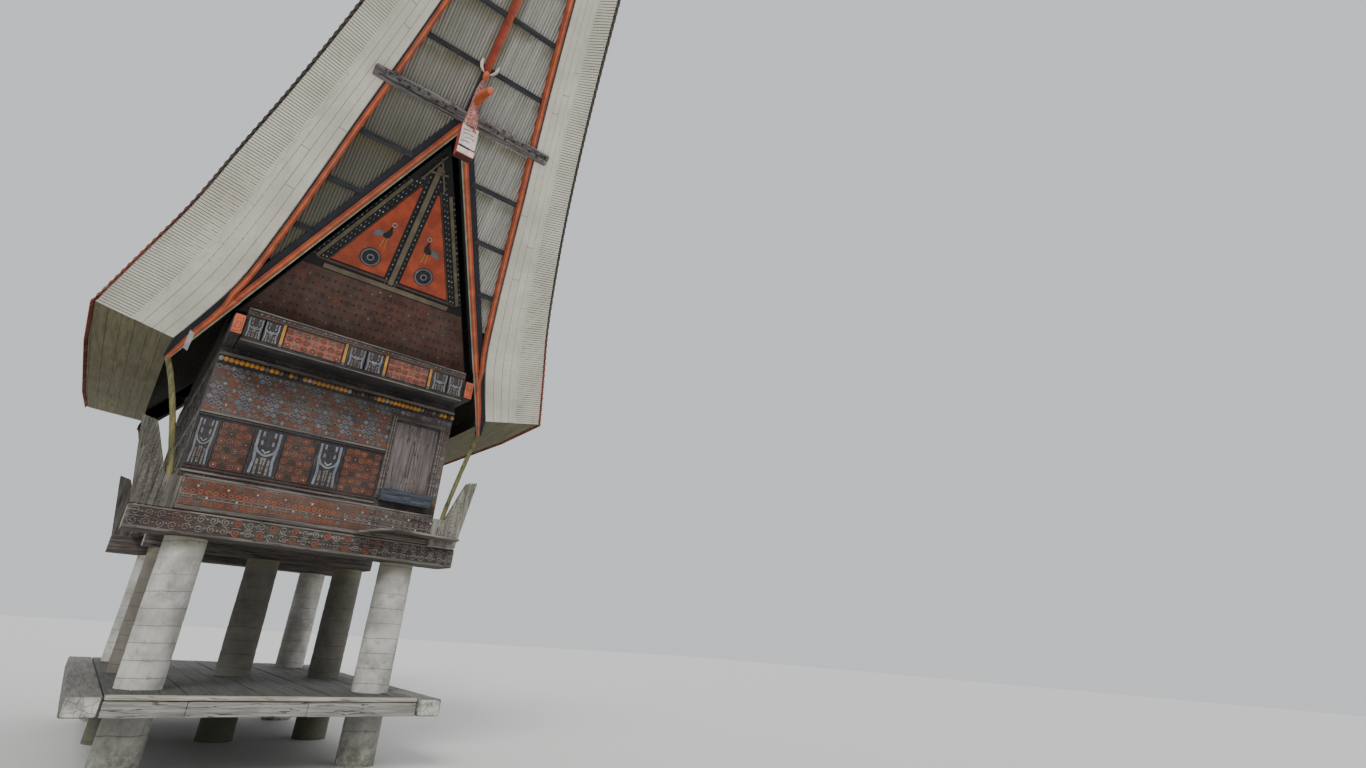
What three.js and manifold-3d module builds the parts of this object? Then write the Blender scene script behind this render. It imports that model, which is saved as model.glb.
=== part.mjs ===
import * as THREE from "three";
import { mergeVertices } from "three/addons/utils/BufferGeometryUtils.js";
import Module from "manifold-3d";

const wasm = await Module();
wasm.setup();

// Frame: millimetres, z = 0 on the ground, x = 0 in the plane of symmetry,
// y = 0 half way between the front and rear pillars, the front towards -y.

// Pillars
const PILLAR_X = 1200;
const PILLAR_ROW = 2250;
const PILLAR_FOOT_RADIUS = 228;
const PILLAR_HEAD_RADIUS = 214;

// Platform that people sit on between the pillars
const PLATFORM_TOP = 830;
const PLATFORM_HALF_WIDTH = 1804;
const PLATFORM_HALF_LENGTH = 3140;
const PLATFORM_DEPTH = 200;
const SIDE_BEAM_WIDTH = 300;
const END_BEAM_WIDTH = 150;
const DECK_THICKNESS = 60;
const DECK_HOLE_RADIUS = 234;
const BEARER_HALF_WIDTH = 60;
const BEARER_DEPTH = 190;

// Tie beams over the pillars and the box of the store above them
const TIE_BOTTOM = 2408;
const TIE_TOP = 2677;
const TIE_HALF_LENGTH = 1832;
const TIE_FRONT = 2602;
const TIE_BACK = 2102;
const MIDDLE_TIE_HALF_LENGTH = 1500;
const MIDDLE_TIE_HALF_WIDTH = 170;
const SILL_TOP = 3075;
const SILL_HALF_LENGTH = 1440;
const SILL_BACK = 2480;
const SIDE_SILL = 1610;
const FLOOR_THICKNESS = 60;
const WALL_HALF_WIDTH = 1490;
const WALL_FACE = 2477;
const WALL_THICKNESS = 60;
const WALL_TOP = 4680;

// Small upper door of the store
const DOOR_LEFT = 725;
const DOOR_RIGHT = 1335;
const DOOR_BOTTOM = 3330;
const DOOR_TOP = 4280;
const DOOR_RECESS = 8;
const DOOR_THICKNESS = 42;
const DOOR_SILL_OVERHANG = 35;
const DOOR_SILL_DEPTH = 150;
const DOOR_SILL_HEIGHT = 180;

// Warped step board on the tie beam: the line of its top, its depth and thickness
const STEP_LINE = [
  [470, 2700],
  [600, 2745],
  [850, 2800],
  [1100, 2800],
  [1400, 2785],
  [1760, 2780],
];
const STEP_DEPTH = 270;
const STEP_THICKNESS = 28;

// Corner boards: outer edge from the foot up and back down the inner edge, and the slim
// poles behind them (distance from the middle, distance behind the tie beam's face, height)
const CORNER_THICKNESS = 70;
const CORNER_OUTER_EDGE = [[1825, TIE_TOP], [1965, 3500], [1985, 3640]];
const CORNER_INNER_EDGE = [[1835, 3600], [1790, 3500], [1610, 3040]];
const CORNER_POLE_LINE = [
  [1570, 36, 2990],
  [1615, 36, 3250],
  [1735, 70, 3750],
  [1865, 160, 4170],
  [1985, 300, 4500],
];
const CORNER_POLE_RADIUS = 34;

// Cornice box and wall plates
const CORNICE_BOTTOM = 4630;
const CORNICE_TOP = 5070;
const CORNICE_FRONT = 3000;
const CORNICE_LIP = 120;
const PLATE_INSIDE = 1370;
const PLATE_OUTSIDE = 1495;
const PLATE_TOP = 4940;
const PLATE_HALF_LENGTH = 3040;
const SEAT_HALF_LENGTH = 1900;

// The front of the roof is cut by one plane that leans out as it rises
const LEAN = 0.87;
const LEAN_Y = 2530;
const LEAN_Z = 4590;

// Painted gable between the two gable rafters, set back behind the cut
const GABLE_FOOT = 5070.3;
const GABLE_HALF_WIDTH = 1487;
const GABLE_HEAD = 7320;
const GABLE_RECESS = 250;
const GABLE_THICKNESS = 45;
const GABLE_RAFTER = 185;
const LAP = 6;

// Edge rafters, centre pole and battens of the bow
const RAFTER = 85;
const RAFTER_FOOT = [2000, 4400];
const TOE_HEAD = 5100;
const FRAME_TOP = 9800;
const POLE_HALF_WIDTH = 45;
const POLE_FOOT = 7540;
const BATTEN = 48;
const SHORT_BATTENS = [5926, 6426, 6926];
const LONG_BATTENS = [7926, 8416, 8906, 9396, 9720];
const SOFFIT_FOOT = 5560;

// Distances behind the leaning cut from front to back; less than nothing is before it
const EDGE_RAFTER_DEPTHS = [-30, 100];
const TOE_DEPTHS = [-24, 100];
const POLE_DEPTHS = [-10, 58];
const BATTEN_DEPTHS = [20, 58];
const SOFFIT_DEPTHS = [58.3, 94];
const GABLE_RAFTER_FRONT = 10;

// Rough beam across the bow, and the carved bird that stands against it: the front of its
// neck and crest and the line of its beak (distance from the middle, height), its half width
// at each height, the block at its foot and the line of its two small horns
const CROSS_BEAM_BOTTOM = 7385;
const CROSS_BEAM_TOP = 7498;
const CROSS_BEAM_HALF_LENGTH = 1110;
const CROSS_BEAM_FRONT = 115;
const FIGURE_FOOT = 7120;
const FIGURE_BEND = 7605;
const FIGURE_CREST = 7850;
const FIGURE_FRONT = [
  [5437, 7910],
  [5497, 7850],
  [5365, 7740],
  [5350, 7640],
  [5325, 7500],
  [5325, 7120],
];
const FIGURE_HALF_WIDTHS = [
  [92, 7120],
  [86, 7250],
  [72, 7400],
  [54, 7520],
  [50, 7700],
  [38, 7850],
  [38, 7920],
];
const BEAK_HALF_WIDTH = 50;
const BEAK_SIDE = [
  [5300, 7640],
  [5355, 7650],
  [5560, 7570],
  [5745, 7470],
  [5770, 7445],
  [5770, 7375],
  [5725, 7345],
  [5550, 7435],
  [5420, 7410],
  [5300, 7420],
];
const BLOCK_HALF_WIDTH = 105;
const BLOCK_DEPTH = 130;
const BLOCK_HEIGHTS = [6760, 7180];
const HORN_LINE = [[-105, 8000], [-85, 7925], [0, 7885], [85, 7925], [105, 8000]];
const HORN_RADIUS = 20;

// Ridge: a low middle that sweeps up to both tips
const RIDGE_LOW = 7930;
const RIDGE_RISE = 2520;
const RIDGE_THICKNESS = 800;
const TIP = 7150;

// Edge of the roof along the leaning cut, from the eave to the tip:
// height, half width, distance from the middle
const OUTER_EDGE = [
  [4700, 2720, 2770],
  [5230, 2470, 3175],
  [5830, 2200, 3600],
  [6430, 1985, 4020],
  [7030, 1750, 4540],
  [7630, 1530, 5090],
  [8230, 1330, 5640],
  [9030, 1080, 6390],
  [9830, 860, 7100],
];
const INNER_EDGE = [
  [4590, 1960, 2530],
  [5230, 1590, 3087],
  [5830, 1390, 3609],
  [6430, 1225, 4131],
  [7030, 1070, 4653],
  [7630, 905, 5175],
  [8230, 750, 5697],
  [9030, 560, 6393],
  [9843, 380, 7100],
];
const EAVE_OUTER = [4650, 2750];
const EAVE_INNER = [4570, 1970];
const EAVE_THICKNESS = 180;
const SHEET = 18;
const SHEET_OVERHANG = 50;
const CAP_HALF_WIDTH = 150;
const CAP = 15;
const CAP_GAP = 1.9;

// Caps of the tips: the outermost of three lapped bands, and how far each next one steps
// in, down at the peak, down at the sides and back
const TIP_CAP_HALF_WIDTH = 900;
const TIP_CAP_PEAK = 10500;
const TIP_CAP_SIDE = 9960;
const TIP_CAP_FACE = 90;
const TIP_CAP_BACK = 49.7;
const TIP_CAP_STEPS = [35, 150, 100, 25];

const CLEAR = 0.3;

const colours = {
  pillar: "#a9a49c",
  weathered: "#8d8880",
  carved: "#86695c",
  red: "#8e3b2c",
  orange: "#c4562a",
  dark: "#2b2623",
  bamboo: "#aaa898",
  sheet: "#a3503e",
  cap: "#b9c3d6",
  pale: "#b7b2a6",
};

const group = new THREE.Group();

function add(name, geometry, colour) {
  const material = new THREE.MeshStandardMaterial({ color: colours[colour], roughness: 0.8 });
  const mesh = new THREE.Mesh(geometry, material);
  mesh.name = name;
  group.add(mesh);
}

// Linear reading of a table whose first column rises
function read(table, at, column) {
  for (let i = 1; i < table.length; i++) {
    const [low, high] = [table[i - 1], table[i]];
    if (at <= high[0] || i === table.length - 1) {
      const share = (at - low[0]) / (high[0] - low[0]);
      return low[column] + share * (high[column] - low[column]);
    }
  }
  return table[0][column];
}

function ridgeHeight(y) {
  return RIDGE_LOW + RIDGE_RISE * (y / TIP) ** 2;
}

// Distance of the leaning cut from the middle at a height
function leanAt(z) {
  return LEAN_Y + LEAN * (z - LEAN_Z);
}

function box(x0, x1, y0, y1, z0, z1) {
  const geometry = new THREE.BoxGeometry(x1 - x0, y1 - y0, z1 - z0);
  geometry.translate((x0 + x1) / 2, (y0 + y1) / 2, (z0 + z1) / 2);
  return geometry;
}

function toSolid(geometry) {
  const bare = geometry.clone();
  bare.deleteAttribute("normal");
  bare.deleteAttribute("uv");
  const merged = mergeVertices(bare, 1e-3);
  return new wasm.Manifold(
    new wasm.Mesh({
      numProp: 3,
      vertProperties: new Float32Array(merged.attributes.position.array),
      triVerts: new Uint32Array(merged.index.array),
    }),
  );
}

function toGeometry(solid) {
  const mesh = solid.getMesh();
  const geometry = new THREE.BufferGeometry();
  geometry.setAttribute("position", new THREE.BufferAttribute(mesh.vertProperties, 3));
  geometry.setIndex(new THREE.BufferAttribute(mesh.triVerts, 1));
  return geometry;
}

function join(geometries) {
  return toGeometry(geometries.map(toSolid).reduce((whole, piece) => whole.add(piece)));
}

function common(geometries) {
  return toGeometry(geometries.map(toSolid).reduce((whole, piece) => whole.intersect(piece)));
}

function cut(geometry, tools) {
  const start = toSolid(geometry);
  return toGeometry(tools.map(toSolid).reduce((whole, tool) => whole.subtract(tool), start));
}

// A flat outline in x and z, extruded along y
function slab(outline, y0, y1) {
  const shape = new THREE.Shape(outline.map(([x, z]) => new THREE.Vector2(x, z)));
  const geometry = new THREE.ExtrudeGeometry(shape, { depth: y1 - y0, bevelEnabled: false });
  geometry.rotateX(Math.PI / 2);
  geometry.translate(0, y1, 0);
  return geometry;
}

// The same outline on the leaning cut, from one depth behind it to another
function leaningSlab(outline, front, back) {
  const geometry = slab(outline, -back, -front);
  const p = geometry.attributes.position;
  for (let i = 0; i < p.count; i++) p.setY(i, -p.getY(i) - leanAt(p.getZ(i)));
  return flipped(geometry);
}

// Turns every face round, for a geometry that was mirrored
function flipped(geometry) {
  const source = geometry.index ? geometry.toNonIndexed() : geometry.clone();
  const p = source.attributes.position.array;
  for (let i = 0; i < p.length; i += 9) {
    for (let k = 0; k < 3; k++) [p[i + 3 + k], p[i + 6 + k]] = [p[i + 6 + k], p[i + 3 + k]];
  }
  const out = new THREE.BufferGeometry();
  out.setAttribute("position", new THREE.BufferAttribute(p, 3));
  return mergeVertices(out, 1e-3);
}

function mirrorX(geometry) {
  return flipped(geometry.clone().scale(-1, 1, 1));
}

function mirrorY(geometry) {
  return flipped(geometry.clone().scale(1, -1, 1));
}

function mirroredOutline(outline) {
  return outline.map(([x, z]) => [-x, z]).reverse();
}

// Triangles that fill a ring of points in their own order: rings of even length are
// strips, whose first half runs out along one side and whose second half comes back
function ringTriangles(ring) {
  const n = ring.length;
  if (n % 2 === 0) {
    const triangles = [];
    for (let k = 0; k < n / 2 - 1; k++) {
      triangles.push([k, k + 1, n - 2 - k], [k, n - 2 - k, n - 1 - k]);
    }
    return triangles;
  }
  const outline = ring.map(([x, , z]) => new THREE.Vector2(x, z));
  const turn = Math.sign(THREE.ShapeUtils.area(outline));
  return THREE.ShapeUtils.triangulateShape(outline, []).map(([a, b, c]) => {
    const same = Math.sign(THREE.ShapeUtils.area([outline[a], outline[b], outline[c]])) === turn;
    return same ? [a, b, c] : [a, c, b];
  });
}

// A round bar along a smooth curve through some points
function bar(points, radius, steps) {
  const line = new THREE.CatmullRomCurve3(points.map((point) => new THREE.Vector3(...point)));
  const section = new THREE.Shape(new THREE.EllipseCurve(0, 0, radius, radius).getPoints(8).slice(0, 8));
  return new THREE.ExtrudeGeometry(section, { extrudePath: line, steps, bevelEnabled: false });
}

// Joins equal rings of points into one closed body, with flat ends
function loft(rings) {
  const n = rings[0].length;
  const positions = [];
  const index = [];
  for (const ring of rings) for (const point of ring) positions.push(...point);
  for (let r = 0; r + 1 < rings.length; r++) {
    for (let k = 0; k < n; k++) {
      const a = r * n + k;
      const b = r * n + ((k + 1) % n);
      index.push(a, b, b + n, a, b + n, a + n);
    }
  }
  const last = (rings.length - 1) * n;
  for (const [a, b, c] of ringTriangles(rings[0])) index.push(c, b, a);
  for (const [a, b, c] of ringTriangles(rings.at(-1))) index.push(last + a, last + b, last + c);
  const geometry = new THREE.BufferGeometry();
  geometry.setAttribute("position", new THREE.BufferAttribute(new Float32Array(positions), 3));
  geometry.setIndex(index);
  return toSolid(geometry).volume() < 0 ? flipped(geometry) : geometry;
}

// Pillars: round trunks, pierced where a bearer of the platform goes through
function pillar(x, y) {
  const [head, foot] = [PILLAR_HEAD_RADIUS, PILLAR_FOOT_RADIUS];
  const geometry = new THREE.CylinderGeometry(head, foot, TIE_BOTTOM, 28);
  geometry.rotateX(Math.PI / 2);
  geometry.translate(x, y, TIE_BOTTOM / 2);
  const bearerTop = PLATFORM_TOP - DECK_THICKNESS;
  const mortise = box(
    x - 400,
    x + 400,
    y - BEARER_HALF_WIDTH - CLEAR,
    y + BEARER_HALF_WIDTH + CLEAR,
    bearerTop - BEARER_DEPTH - CLEAR,
    bearerTop + CLEAR,
  );
  return cut(geometry, [mortise]);
}
const pillars = {
  pillar_front_left: [-PILLAR_X, -PILLAR_ROW],
  pillar_front_right: [PILLAR_X, -PILLAR_ROW],
  pillar_middle_left: [-PILLAR_X, 0],
  pillar_middle_centre: [0, 0],
  pillar_middle_right: [PILLAR_X, 0],
  pillar_rear_left: [-PILLAR_X, PILLAR_ROW],
  pillar_rear_right: [PILLAR_X, PILLAR_ROW],
};
for (const [name, [x, y]] of Object.entries(pillars)) add(name, pillar(x, y), "pillar");

// Platform: bearers through the pillars, a frame round them and the deck on top
const frameInside = PLATFORM_HALF_WIDTH - SIDE_BEAM_WIDTH;
const deckUnderside = PLATFORM_TOP - DECK_THICKNESS;
for (const [name, y] of [["front", -PILLAR_ROW], ["middle", 0], ["rear", PILLAR_ROW]]) {
  const bearer = box(
    -frameInside + CLEAR,
    frameInside - CLEAR,
    y - BEARER_HALF_WIDTH,
    y + BEARER_HALF_WIDTH,
    deckUnderside - BEARER_DEPTH,
    deckUnderside,
  );
  add("platform_bearer_" + name, bearer, "weathered");
}
const frameBottom = PLATFORM_TOP - PLATFORM_DEPTH;
const sideBeam = box(
  frameInside,
  PLATFORM_HALF_WIDTH,
  -PLATFORM_HALF_LENGTH,
  PLATFORM_HALF_LENGTH,
  frameBottom,
  PLATFORM_TOP,
);
add("platform_side_beam_right", sideBeam, "weathered");
add("platform_side_beam_left", mirrorX(sideBeam), "weathered");
const endBeam = box(
  -frameInside + CLEAR,
  frameInside - CLEAR,
  -PLATFORM_HALF_LENGTH,
  -PLATFORM_HALF_LENGTH + END_BEAM_WIDTH,
  frameBottom,
  PLATFORM_TOP,
);
add("platform_front_board", endBeam, "weathered");
add("platform_rear_board", mirrorY(endBeam), "weathered");
const deckY = PLATFORM_HALF_LENGTH - END_BEAM_WIDTH - CLEAR;
const deckPlate = box(
  -frameInside + CLEAR,
  frameInside - CLEAR,
  -deckY,
  deckY,
  deckUnderside,
  PLATFORM_TOP,
);
const deckHoles = Object.values(pillars).map(([x, y]) => {
  const hole = new THREE.CylinderGeometry(DECK_HOLE_RADIUS, DECK_HOLE_RADIUS, 400, 28);
  hole.rotateX(Math.PI / 2);
  hole.translate(x, y, PLATFORM_TOP);
  return hole;
});
add("platform_deck", cut(deckPlate, deckHoles), "weathered");

// Tie beams over the three rows of pillars
const tieBeam = box(-TIE_HALF_LENGTH, TIE_HALF_LENGTH, -TIE_FRONT, -TIE_BACK, TIE_BOTTOM, TIE_TOP);
add("tie_beam_front", tieBeam, "carved");
add("tie_beam_rear", mirrorY(tieBeam), "carved");
const middleTie = box(
  -MIDDLE_TIE_HALF_LENGTH,
  MIDDLE_TIE_HALF_LENGTH,
  -MIDDLE_TIE_HALF_WIDTH,
  MIDDLE_TIE_HALF_WIDTH,
  TIE_BOTTOM,
  TIE_TOP,
);
add("tie_beam_middle", middleTie, "weathered");

// Store: floor, carved sills, walls
const floorTop = TIE_TOP + FLOOR_THICKNESS;
const innerHalfWidth = WALL_HALF_WIDTH - WALL_THICKNESS;
const innerHalfLength = WALL_FACE - WALL_THICKNESS;
const storeFloor = box(-WALL_HALF_WIDTH, WALL_HALF_WIDTH, -WALL_FACE, WALL_FACE, TIE_TOP, floorTop);
add("store_floor", storeFloor, "weathered");
const sill = box(-SILL_HALF_LENGTH, SILL_HALF_LENGTH, -TIE_FRONT, -SILL_BACK, TIE_TOP, SILL_TOP);
add("sill_front", sill, "carved");
add("sill_rear", mirrorY(sill), "carved");
const doorway = box(DOOR_LEFT - 0.5, DOOR_RIGHT + 0.5, -3000, -2000, DOOR_BOTTOM, DOOR_TOP + 0.5);
const endWall = box(
  -WALL_HALF_WIDTH,
  WALL_HALF_WIDTH,
  -WALL_FACE,
  -innerHalfLength,
  floorTop,
  WALL_TOP,
);
add("front_wall", cut(endWall, [doorway]), "red");
add("rear_wall", mirrorY(endWall), "red");
const wallEnd = innerHalfLength - CLEAR;
const sideWall = join([
  box(innerHalfWidth, WALL_HALF_WIDTH, -wallEnd, wallEnd, floorTop, WALL_TOP),
  box(WALL_HALF_WIDTH + CLEAR, SIDE_SILL, -TIE_BACK + 2, TIE_BACK - 2, TIE_TOP, SILL_TOP),
  box(WALL_HALF_WIDTH - 5, SIDE_SILL - 10, -TIE_BACK + 2, TIE_BACK - 2, floorTop + 5, SILL_TOP - 5),
]);
add("right_wall", sideWall, "weathered");
add("left_wall", mirrorX(sideWall), "weathered");

// Small door of the store, its thick sill and the warped step board below
const doorBack = DOOR_RECESS + DOOR_THICKNESS;
const doorLeaf = box(
  DOOR_LEFT,
  DOOR_RIGHT,
  -WALL_FACE + DOOR_RECESS,
  -WALL_FACE + doorBack,
  DOOR_BOTTOM + CLEAR,
  DOOR_TOP,
);
add("upper_door", doorLeaf, "weathered");
const doorSill = box(
  DOOR_LEFT - DOOR_SILL_OVERHANG,
  DOOR_RIGHT + DOOR_SILL_OVERHANG,
  -WALL_FACE - DOOR_SILL_DEPTH,
  -WALL_FACE - CLEAR,
  DOOR_BOTTOM - DOOR_SILL_HEIGHT,
  DOOR_BOTTOM,
);
add("door_sill", doorSill, "weathered");
const stepUnder = STEP_LINE.map(([x, z]) => [x, z - STEP_THICKNESS]);
const stepOutline = [...stepUnder, ...STEP_LINE.toReversed()];
add("step_board", slab(stepOutline, -TIE_FRONT - STEP_DEPTH, -TIE_FRONT - CLEAR), "weathered");

// Corner boards that flare outwards from the ends of the tie beams, each with a slim
// pole that leans out to the foot of the edge rafter
const cornerInside = SILL_HALF_LENGTH + CLEAR;
const cornerOutline = [
  [cornerInside, TIE_TOP],
  ...CORNER_OUTER_EDGE,
  ...CORNER_INNER_EDGE,
  [cornerInside, CORNER_INNER_EDGE.at(-1)[1]],
];
const cornerPole = bar(
  CORNER_POLE_LINE.map(([x, back, z]) => [x, -TIE_FRONT + back, z]),
  CORNER_POLE_RADIUS,
  10,
);
const aboveRafterFoot = box(1500, 2300, -3000, -2000, RAFTER_FOOT[1] - CLEAR, 4700);
const cornerBoard = cut(
  join([slab(cornerOutline, -TIE_FRONT, -TIE_FRONT + CORNER_THICKNESS), cornerPole]),
  [aboveRafterFoot],
);
add("corner_board_front_right", cornerBoard, "pale");
add("corner_board_front_left", mirrorX(cornerBoard), "pale");
add("corner_board_rear_right", mirrorY(cornerBoard), "pale");
add("corner_board_rear_left", mirrorX(mirrorY(cornerBoard)), "pale");

// Wall plates along the side walls, with the seat of the roof on their backs: the seat
// rises to the underside of the roof at the middle of the house
const eaveSeat = EAVE_INNER[0] + EAVE_THICKNESS;
const seatShare = (EAVE_INNER[1] - PLATE_OUTSIDE) / EAVE_INNER[1];
const seatTop = eaveSeat + seatShare * (RIDGE_LOW - RIDGE_THICKNESS - eaveSeat) - 1;
const plate = join([
  box(PLATE_INSIDE, PLATE_OUTSIDE, -PLATE_HALF_LENGTH, PLATE_HALF_LENGTH, WALL_TOP, PLATE_TOP),
  box(
    PLATE_INSIDE,
    PLATE_OUTSIDE,
    -SEAT_HALF_LENGTH,
    SEAT_HALF_LENGTH,
    WALL_TOP + 20,
    seatTop,
  ),
]);
add("wall_plate_right", plate, "orange");
add("wall_plate_left", mirrorX(plate), "orange");

// Cornice box between the plates, carved on its face, under the leaning gable
const corniceEnd = PLATE_INSIDE - CLEAR;
const cornice = join([
  box(-corniceEnd, corniceEnd, -CORNICE_FRONT, -CORNICE_FRONT + CORNICE_LIP, CORNICE_BOTTOM, CORNICE_TOP),
  box(-corniceEnd, corniceEnd, -CORNICE_FRONT + CORNICE_LIP / 2, -innerHalfLength, WALL_TOP, CORNICE_TOP),
]);
add("cornice_front", cornice, "red");
add("cornice_rear", mirrorY(cornice), "red");

// Painted gable boards on the leaning cut, set back between the gable rafters
const gableSlope = GABLE_HALF_WIDTH / (GABLE_HEAD - GABLE_FOOT);
const gableHalf = (z) => (GABLE_HEAD - z) * gableSlope;
const gableOutline = [
  [GABLE_HALF_WIDTH, GABLE_FOOT],
  [0, GABLE_HEAD],
  [-GABLE_HALF_WIDTH, GABLE_FOOT],
];
const gableBack = GABLE_RECESS + GABLE_THICKNESS;
const gableWall = leaningSlab(gableOutline, GABLE_RECESS, gableBack);
add("gable_wall_front", gableWall, "red");
add("gable_wall_rear", mirrorY(gableWall), "red");

// Bow frame: edge rafters, gable rafters with their toes that run on down beside the edge
// rafters, centre pole and cross battens
const edgeAt = (z) => read(INNER_EDGE, z, 1) - 0.6;
const insideAt = (z) => edgeAt(z) - RAFTER;
const edgeHeights = [...INNER_EDGE.map(([z]) => z).slice(0, -1), FRAME_TOP];
const edgeLine = [RAFTER_FOOT, ...edgeHeights.map((z) => [edgeAt(z), z])];
const edgeRafter = leaningSlab(
  [...edgeLine.map(([x, z]) => [x - RAFTER, z]), ...edgeLine.toReversed()],
  ...EDGE_RAFTER_DEPTHS,
);
const gableRafter = leaningSlab(
  [
    [GABLE_HALF_WIDTH + CLEAR, GABLE_FOOT],
    [-LAP, GABLE_HEAD + (LAP + CLEAR) / gableSlope],
    [-LAP, GABLE_HEAD + (GABLE_RAFTER - LAP) / gableSlope],
    [0, GABLE_HEAD + GABLE_RAFTER / gableSlope],
    [GABLE_HALF_WIDTH + GABLE_RAFTER, GABLE_FOOT],
  ],
  GABLE_RAFTER_FRONT,
  gableBack,
);
const rafterToe = leaningSlab(
  [
    [gableHalf(RAFTER_FOOT[1]), RAFTER_FOOT[1]],
    [gableHalf(TOE_HEAD) + CLEAR, TOE_HEAD],
    [gableHalf(TOE_HEAD) + GABLE_RAFTER, TOE_HEAD],
    [RAFTER_FOOT[0] - LAP, RAFTER_FOOT[1]],
  ],
  ...TOE_DEPTHS,
);
function batten(from, to, z) {
  const outline = [[from, z], [to, z], [to, z + BATTEN], [from, z + BATTEN]];
  return leaningSlab(outline, ...BATTEN_DEPTHS);
}
const shortBattens = SHORT_BATTENS.map((z) => {
  return batten(gableHalf(z) + GABLE_RAFTER - 50, insideAt(z) + 30, z);
});
const longBattens = LONG_BATTENS.map((z) => batten(-insideAt(z) - 30, insideAt(z) + 30, z));
const pole = leaningSlab(
  [
    [-POLE_HALF_WIDTH, POLE_FOOT],
    [POLE_HALF_WIDTH, POLE_FOOT],
    [POLE_HALF_WIDTH, FRAME_TOP],
    [-POLE_HALF_WIDTH, FRAME_TOP],
  ],
  ...POLE_DEPTHS,
);
const frameSide = [edgeRafter, gableRafter, rafterToe, ...shortBattens];
const bowFrame = join([...frameSide, ...frameSide.map(mirrorX), pole, ...longBattens]);
add("bow_frame_front", bowFrame, "orange");
add("bow_frame_rear", mirrorY(bowFrame), "orange");

// Boarding of the bow behind the frame, from the tip down both sides of the gable
const soffitHeights = [SOFFIT_FOOT, ...edgeHeights.filter((z) => z > SOFFIT_FOOT)];
const soffitLine = soffitHeights.map((z) => [insideAt(z) - CLEAR, z]);
const soffitOutline = [...soffitLine, ...mirroredOutline(soffitLine)];
const openingHalf = GABLE_RAFTER + 2 * CLEAR;
const gableOpening = [
  [gableHalf(4000) + openingHalf, 4000],
  [0, GABLE_HEAD + openingHalf / gableSlope],
  [-gableHalf(4000) - openingHalf, 4000],
];
const soffit = cut(leaningSlab(soffitOutline, ...SOFFIT_DEPTHS), [leaningSlab(gableOpening, 0, 200)]);
add("soffit_front", soffit, "bamboo");
add("soffit_rear", mirrorY(soffit), "bamboo");

// Rough cross beam under the bow, clear of the faces of the edge rafters
const crossBeam = leaningSlab(
  [
    [-CROSS_BEAM_HALF_LENGTH, CROSS_BEAM_BOTTOM],
    [CROSS_BEAM_HALF_LENGTH, CROSS_BEAM_BOTTOM],
    [CROSS_BEAM_HALF_LENGTH, CROSS_BEAM_TOP],
    [-CROSS_BEAM_HALF_LENGTH, CROSS_BEAM_TOP],
  ],
  -CROSS_BEAM_FRONT,
  EDGE_RAFTER_DEPTHS[0] - CLEAR,
);
add("cross_beam_front", crossBeam, "weathered");
add("cross_beam_rear", mirrorY(crossBeam), "weathered");

// Carved figure of a bird, upright against the beam and the centre pole: its back rises
// straight to the pole and then follows it to the crest and the horns
const figureBack = leanAt(CROSS_BEAM_TOP) + CROSS_BEAM_FRONT + CLEAR;
const poleFace = (z) => leanAt(z) - POLE_DEPTHS[0] + CLEAR;
const figureOutline = [
  [figureBack, FIGURE_FOOT],
  [figureBack, FIGURE_BEND],
  [poleFace(FIGURE_CREST), FIGURE_CREST],
  ...FIGURE_FRONT,
];
const figureFace = [...FIGURE_HALF_WIDTHS, ...mirroredOutline(FIGURE_HALF_WIDTHS)];
const figureHalf = FIGURE_HALF_WIDTHS[0][0];
const figureNeck = common([
  slab(figureOutline, -figureHalf, figureHalf).rotateZ(-Math.PI / 2),
  slab(figureFace, -LAP - BEAK_SIDE[4][0], -figureBack),
]);
const figureBeak = slab(BEAK_SIDE, -BEAK_HALF_WIDTH, BEAK_HALF_WIDTH).rotateZ(-Math.PI / 2);
const figureBlock = box(
  -BLOCK_HALF_WIDTH,
  BLOCK_HALF_WIDTH,
  -figureBack - BLOCK_DEPTH,
  -figureBack,
  ...BLOCK_HEIGHTS,
);
const hornCentres = HORN_LINE.map(([x, z]) => [x, -poleFace(z) - 1.5 * HORN_RADIUS, z]);
const figureHorns = bar(hornCentres, HORN_RADIUS, 12);
add("bird_figure", join([figureNeck, figureBeak, figureBlock, figureHorns]), "orange");

// Roof: two thick shells of layered bamboo that meet at the ridge
function shellRing(outer, inner, y) {
  const [outerZ, outerX, outerY] = outer;
  const [innerZ, innerX, innerY] = inner;
  const middle = (outerY + innerY) / 2;
  const ridge = ridgeHeight(middle);
  const thickness = RIDGE_THICKNESS - 350 * (middle / TIP) ** 2;
  const beside = CAP_HALF_WIDTH / outerX;
  return [
    [0.15, y * middle, ridge],
    [CAP_HALF_WIDTH, y * (middle + beside * (outerY - middle)), ridge + beside * (outerZ - ridge)],
    [outerX, y * outerY, outerZ],
    [innerX, y * innerY, innerZ],
    [innerX, y * innerY, innerZ + EAVE_THICKNESS],
    [0.15, y * middle, ridge - thickness],
  ];
}
const cutRings = OUTER_EDGE.map((outer, i) => [outer, INNER_EDGE[i]]);
const eaveRings = [1400, 0, -1400].map((y) => [[...EAVE_OUTER, y], [...EAVE_INNER, y]]);
const rings = [
  ...cutRings.toReversed().map(([outer, inner]) => shellRing(outer, inner, -1)),
  ...eaveRings.map(([outer, inner]) => shellRing(outer, inner, -1)),
  ...cutRings.map(([outer, inner]) => shellRing(outer, inner, 1)),
];
const shell = loft(rings);
add("roof_right", shell, "bamboo");
add("roof_left", mirrorX(shell), "bamboo");

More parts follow.
